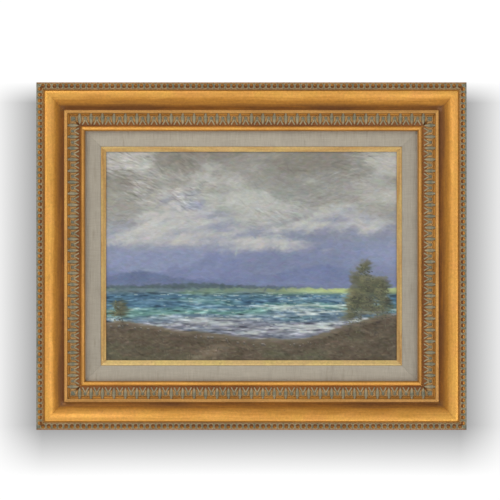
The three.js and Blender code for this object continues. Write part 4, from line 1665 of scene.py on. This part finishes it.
class PAINTING_OT_frame(bpy.types.Operator):
    """Makes the four ornamented rails of the frame"""

    bl_idname = "painting.frame"
    bl_label = "Gilt frame"

    def execute(self, context):
        section = Section()
        sizes = section.moulding
        ornament = millimetres(settings("ornament_sizes"))
        colours = settings("finish_colours")
        material = gilt_material("Gilt moulding", colours.gilt, colours.gilt_deep)
        points = moulding_profile(section)
        under_eyelets = {len(points) - 4, len(points) - 3}
        for number, side in enumerate(SIDE_TURNS):
            edge = rail_length(side)
            eyelet_run = edge - 2 * sizes.band_edge - sizes.band_flat
            leaf_run = edge - 2 * section.border - sizes.border_width
            eyelets, eyelet_pitch = fitted(eyelet_run, ornament.eyelet_pitch)
            leaves, leaf_pitch = fitted(leaf_run, ornament.leaf_pitch)
            eyelet = eyelet_tile(section, ornament, eyelet_pitch, side)
            leaf = leaf_tile(section, ornament, leaf_pitch)
            rows = {
                "Eyelet": eyelet,
                "Eyelet count": eyelets,
                "Eyelet spacing": eyelet_pitch * MM,
                "Leaf": leaf,
                "Leaf count": leaves,
                "Leaf spacing": leaf_pitch * MM,
                "Unevenness": ornament.unevenness * MM,
                "Seed": float(ornament.seed + number),
            }
            tones = moulding_tones(section, points, side)
            body = profile_mesh("body", side, points, tones, BACK_AND_RABBET | under_eyelets)
            mitred_piece("frame_rail_" + side, side, body, material, rows)
            bpy.data.objects.remove(eyelet)
            bpy.data.objects.remove(leaf)
        return {"FINISHED"}


class PAINTING_OT_liner(bpy.types.Operator):
    """Makes the four linen-covered rails of the liner"""

    bl_idname = "painting.liner"
    bl_label = "Linen liner"

    def execute(self, context):
        section = Section()
        material = linen_material()
        points = liner_profile(section)
        for side in SIDE_TURNS:
            # Painted shade: the side rails' linen darker.
            tones = {"umber": by_side(side, 0.12, 0.025)}
            body = profile_mesh("liner", side, points, tones, BACK_AND_RABBET, spacing=4.0)
            mitred_piece("liner_rail_" + side, side, body, material)
        return {"FINISHED"}


class PAINTING_OT_slip(bpy.types.Operator):
    """Makes the four narrow gilt rails of the slip"""

    bl_idname = "painting.slip"
    bl_label = "Gilt slip"

    def execute(self, context):
        section = Section()
        colours = settings("finish_colours")
        material = gilt_material("Gilt slip", colours.slip_gilt, colours.slip_deep)
        points = slip_profile(section)
        for side in SIDE_TURNS:
            # Painted light by side: the slip darkest on the side rails, a little less on the top, and lighter
            # on the bottom where light falls on its bevel.
            tones = {"umber": {"top": 0.28, "bottom": -0.14}.get(side, 0.33)}
            body = profile_mesh("slip", side, points, tones, BACK_ONLY, spacing=4.0)
            mitred_piece("slip_rail_" + side, side, body, material)
        return {"FINISHED"}


class PAINTING_OT_board(bpy.types.Operator):
    """Makes the painted board"""

    bl_idname = "painting.board"
    bl_label = "Painted board"

    def execute(self, context):
        mesh = board_mesh("painted_panel", BOARD_COLUMNS, BOARD_ROWS)
        board_texture(mesh)
        mesh.materials.append(paint_material())
        shade_by_angle(mesh, 60)
        piece = loose_object("painting", mesh)
        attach(piece, "root")
        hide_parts("painted_panel")
        return {"FINISHED"}


class PAINTING_OT_back(bpy.types.Operator):
    """Makes the small metal pieces at the back and finishes the hanger"""

    bl_idname = "painting.back"
    bl_label = "Back fittings"

    def execute(self, context):
        section = Section()
        material = steel_material()
        panel_back = -node_span("painted_panel")[1][1]
        play = 0.3  # between the points and what they hold
        point_rows("liner_points", section.rabbet, section.liner_back - play, 11, material)
        point_rows("panel_points", section.liner_rabbet, panel_back - play, 10, material)
        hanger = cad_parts["sawtooth_hanger"]
        hanger.data.materials.clear()
        hanger.data.materials.append(material)
        for name in ("hanger_screw_left", "hanger_screw_right"):
            mesh = screw_mesh(*node_span(name))
            mesh.materials.append(material)
            shade_by_angle(mesh, 40)
            piece = loose_object(name.replace("hanger_", ""), mesh)
            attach(piece, "root")
            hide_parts(name)
        return {"FINISHED"}


# The stage: camera, lights, floor and backdrop


def area_light(name, power, place, target, tint):
    """A square light at a place, turned to a target and not seen itself."""
    data = bpy.data.lights.new(name, "AREA")
    data.energy = power
    data.size = LIGHT_SIZE
    data.color = tint
    light = bpy.data.objects.new(name, data)
    light.location = place
    light.rotation_euler = (Vector(target) - Vector(place)).to_track_quat("-Z", "Y").to_euler()
    light.visible_camera = False
    bpy.context.scene.collection.objects.link(light)


def stage_plane(name, corners):
    """A flat piece of the stage. Returns its mesh."""
    mesh = bpy.data.meshes.new(name)
    mesh.from_pydata(corners, [], [(0, 1, 2, 3)])
    loose_object(name, mesh)
    return mesh


def stage_wall(name, radius, low, high, steps=96):
    """A round wall that faces inwards. Returns its mesh."""
    places, faces = [], []
    for step in range(steps):
        turn = math.tau * step / steps
        places += [(radius * math.sin(turn), radius * math.cos(turn), z) for z in (low, high)]
        after = (step + 1) % steps
        faces.append((2 * step, 2 * step + 1, 2 * after + 1, 2 * after))
    mesh = bpy.data.meshes.new(name)
    mesh.from_pydata(places, [], faces)
    loose_object(name, mesh)
    return mesh


def add_camera(look, middle):
    """A camera square on, with the frame where it stands in the photograph. Returns it and its distance."""
    camera = bpy.data.objects.new("camera", bpy.data.cameras.new("camera"))
    camera.data.lens = look.lens
    distance = look.view_width * look.lens / camera.data.sensor_width
    pixel = look.view_width / PICTURE_PIXELS
    aside = (PICTURE_PIXELS / 2 - OBJECT_PIXEL[0]) * pixel
    below = (PICTURE_PIXELS / 2 - OBJECT_PIXEL[1]) * pixel
    camera.location = middle + Vector((aside, -distance, -below))
    camera.rotation_euler = (math.pi / 2, 0, 0)
    camera.data.clip_end = 100
    bpy.context.scene.collection.objects.link(camera)
    bpy.context.scene.camera = camera
    bpy.context.scene.view_settings.view_transform = "Standard"
    return camera, distance


def add_floor(level):
    """A wide, pale floor."""
    near, far = -FLOOR_HALF, FLOOR_HALF
    corners = [(near, near, level), (far, near, level), (far, far, level), (near, far, level)]
    floor = stage_plane("floor", corners)
    material, tree, shader = new_material("Pale floor")
    pale = noise(tree, object_place(tree), 3.0, 3.0)
    tree.links.new(grey(tree, noise_range(tree, pale, 0.80, 0.84)), shader.inputs["Base Color"])
    shader.inputs["Roughness"].default_value = 0.9
    shader.inputs["Emission Color"].default_value = (1.0, 1.0, 1.0, 1.0)
    shader.inputs["Emission Strength"].default_value = 0.2
    floor.materials.append(material)


def backdrop_material(eye, pixel, look):
    """White behind the frame, with a soft shadow around its place, and paler grey all round.
    pixel is the size of one of the picture's pixels there."""
    material, tree, shader = new_material("White backdrop")
    parts = new_node(tree, "ShaderNodeSeparateXYZ", {0: object_place(tree)}).outputs
    column = maths(tree, "MULTIPLY_ADD", parts["X"], 1 / pixel, PICTURE_PIXELS / 2 - eye.x / pixel)
    row = maths(tree, "MULTIPLY_ADD", parts["Z"], -1 / pixel, PICTURE_PIXELS / 2 + eye.z / pixel)
    aside = maths(tree, "ABSOLUTE", maths(tree, "SUBTRACT", column, OBJECT_PIXEL[0]))
    sides = range_map(tree, aside, *SHADOW_SIDES)
    below = range_map(tree, row, *SHADOW_FOOT)
    above = range_map(tree, row, *SHADOW_HEAD)
    behind = range_map(tree, parts["Y"], 0.35 * WALL_RADIUS, 0.92 * WALL_RADIUS)
    shade = times(tree, times(tree, sides, below), times(tree, above, behind))
    even = maths(tree, "MULTIPLY_ADD", behind, WALL_LIGHT - look.ambient, look.ambient)
    light = maths(tree, "MULTIPLY_ADD", shade, -2 * look.shadow, even)
    shader.inputs["Base Color"].default_value = (0.0, 0.0, 0.0, 1.0)
    shader.inputs["Roughness"].default_value = 1.0
    tree.links.new(grey(tree, light), shader.inputs["Emission Color"])
    shader.inputs["Emission Strength"].default_value = 1.0
    return material


def add_even_light(strength):
    """A white world that lights everything evenly."""
    world = bpy.data.worlds.new("Even light")
    world.use_nodes = True
    background = world.node_tree.nodes["Background"]
    background.inputs["Color"].default_value = (1.0, 1.0, 1.0, 1.0)
    background.inputs["Strength"].default_value = strength
    bpy.context.scene.world = world


class PAINTING_OT_stage(bpy.types.Operator):
    """Makes the camera, the lights, the floor and the backdrop"""

    bl_idname = "painting.stage"
    bl_label = "Stage"

    def execute(self, context):
        look = settings("stage_look")
        middle = Vector((CENTRE[0] * MM, OUTER_LOW[1] * MM, CENTRE[2] * MM))
        camera, distance = add_camera(look, middle)
        key_place = middle + Vector((-1.2, -1.6, 1.25))
        fill_place = middle + Vector((1.3, -1.6, -0.9))
        area_light("key", look.key, key_place, middle, (1.0, 0.985, 0.96))
        area_light("fill", look.fill, fill_place, middle, (1.0, 0.99, 0.97))
        floor_level = middle.z - FLOOR_DROP
        add_floor(floor_level)
        wall = stage_wall("backdrop", WALL_RADIUS, floor_level, floor_level + WALL_HEIGHT)
        enlarged = (distance + WALL_RADIUS - middle.y) / distance
        pixel = look.view_width / PICTURE_PIXELS
        wall.materials.append(backdrop_material(camera.location, pixel * enlarged, look))
        add_even_light(look.ambient)
        return {"FINISHED"}


class PAINTING_PT_panel(bpy.types.Panel):
    """Lists the steps that make the painting"""

    bl_idname = "PAINTING_PT_panel"
    bl_label = "Framed painting"
    bl_space_type = "VIEW_3D"
    bl_region_type = "UI"
    bl_category = "Painting"

    def draw(self, context):
        for step in STEPS:
            self.layout.operator(step.bl_idname, text=step.bl_label)
        for name in GROUPS:
            group = getattr(context.scene, name)
            box = self.layout.box()
            for key in type(group).__annotations__:
                box.prop(group, key)


GROUPS = {
    "moulding_sizes": MouldingSizes,
    "ornament_sizes": OrnamentSizes,
    "liner_sizes": LinerSizes,
    "finish_colours": FinishColours,
    "painting_look": PaintingLook,
    "stage_look": StageLook,
}
STEPS = (
    PAINTING_OT_stage,
    PAINTING_OT_frame,
    PAINTING_OT_liner,
    PAINTING_OT_slip,
    PAINTING_OT_board,
    PAINTING_OT_back,
)


def register():
    for name, group in GROUPS.items():
        bpy.utils.register_class(group)
        setattr(bpy.types.Scene, name, PointerProperty(type=group))
    for step in STEPS:
        bpy.utils.register_class(step)
    bpy.utils.register_class(PAINTING_PT_panel)


def unregister():
    bpy.utils.unregister_class(PAINTING_PT_panel)
    for step in reversed(STEPS):
        bpy.utils.unregister_class(step)
    for name, group in GROUPS.items():
        delattr(bpy.types.Scene, name)
        bpy.utils.unregister_class(group)


def main():
    register()
    bpy.ops.painting.stage()
    bpy.ops.painting.frame()
    bpy.ops.painting.liner()
    bpy.ops.painting.slip()
    bpy.ops.painting.board()
    bpy.ops.painting.back()


if __name__ == "__main__":
    main()
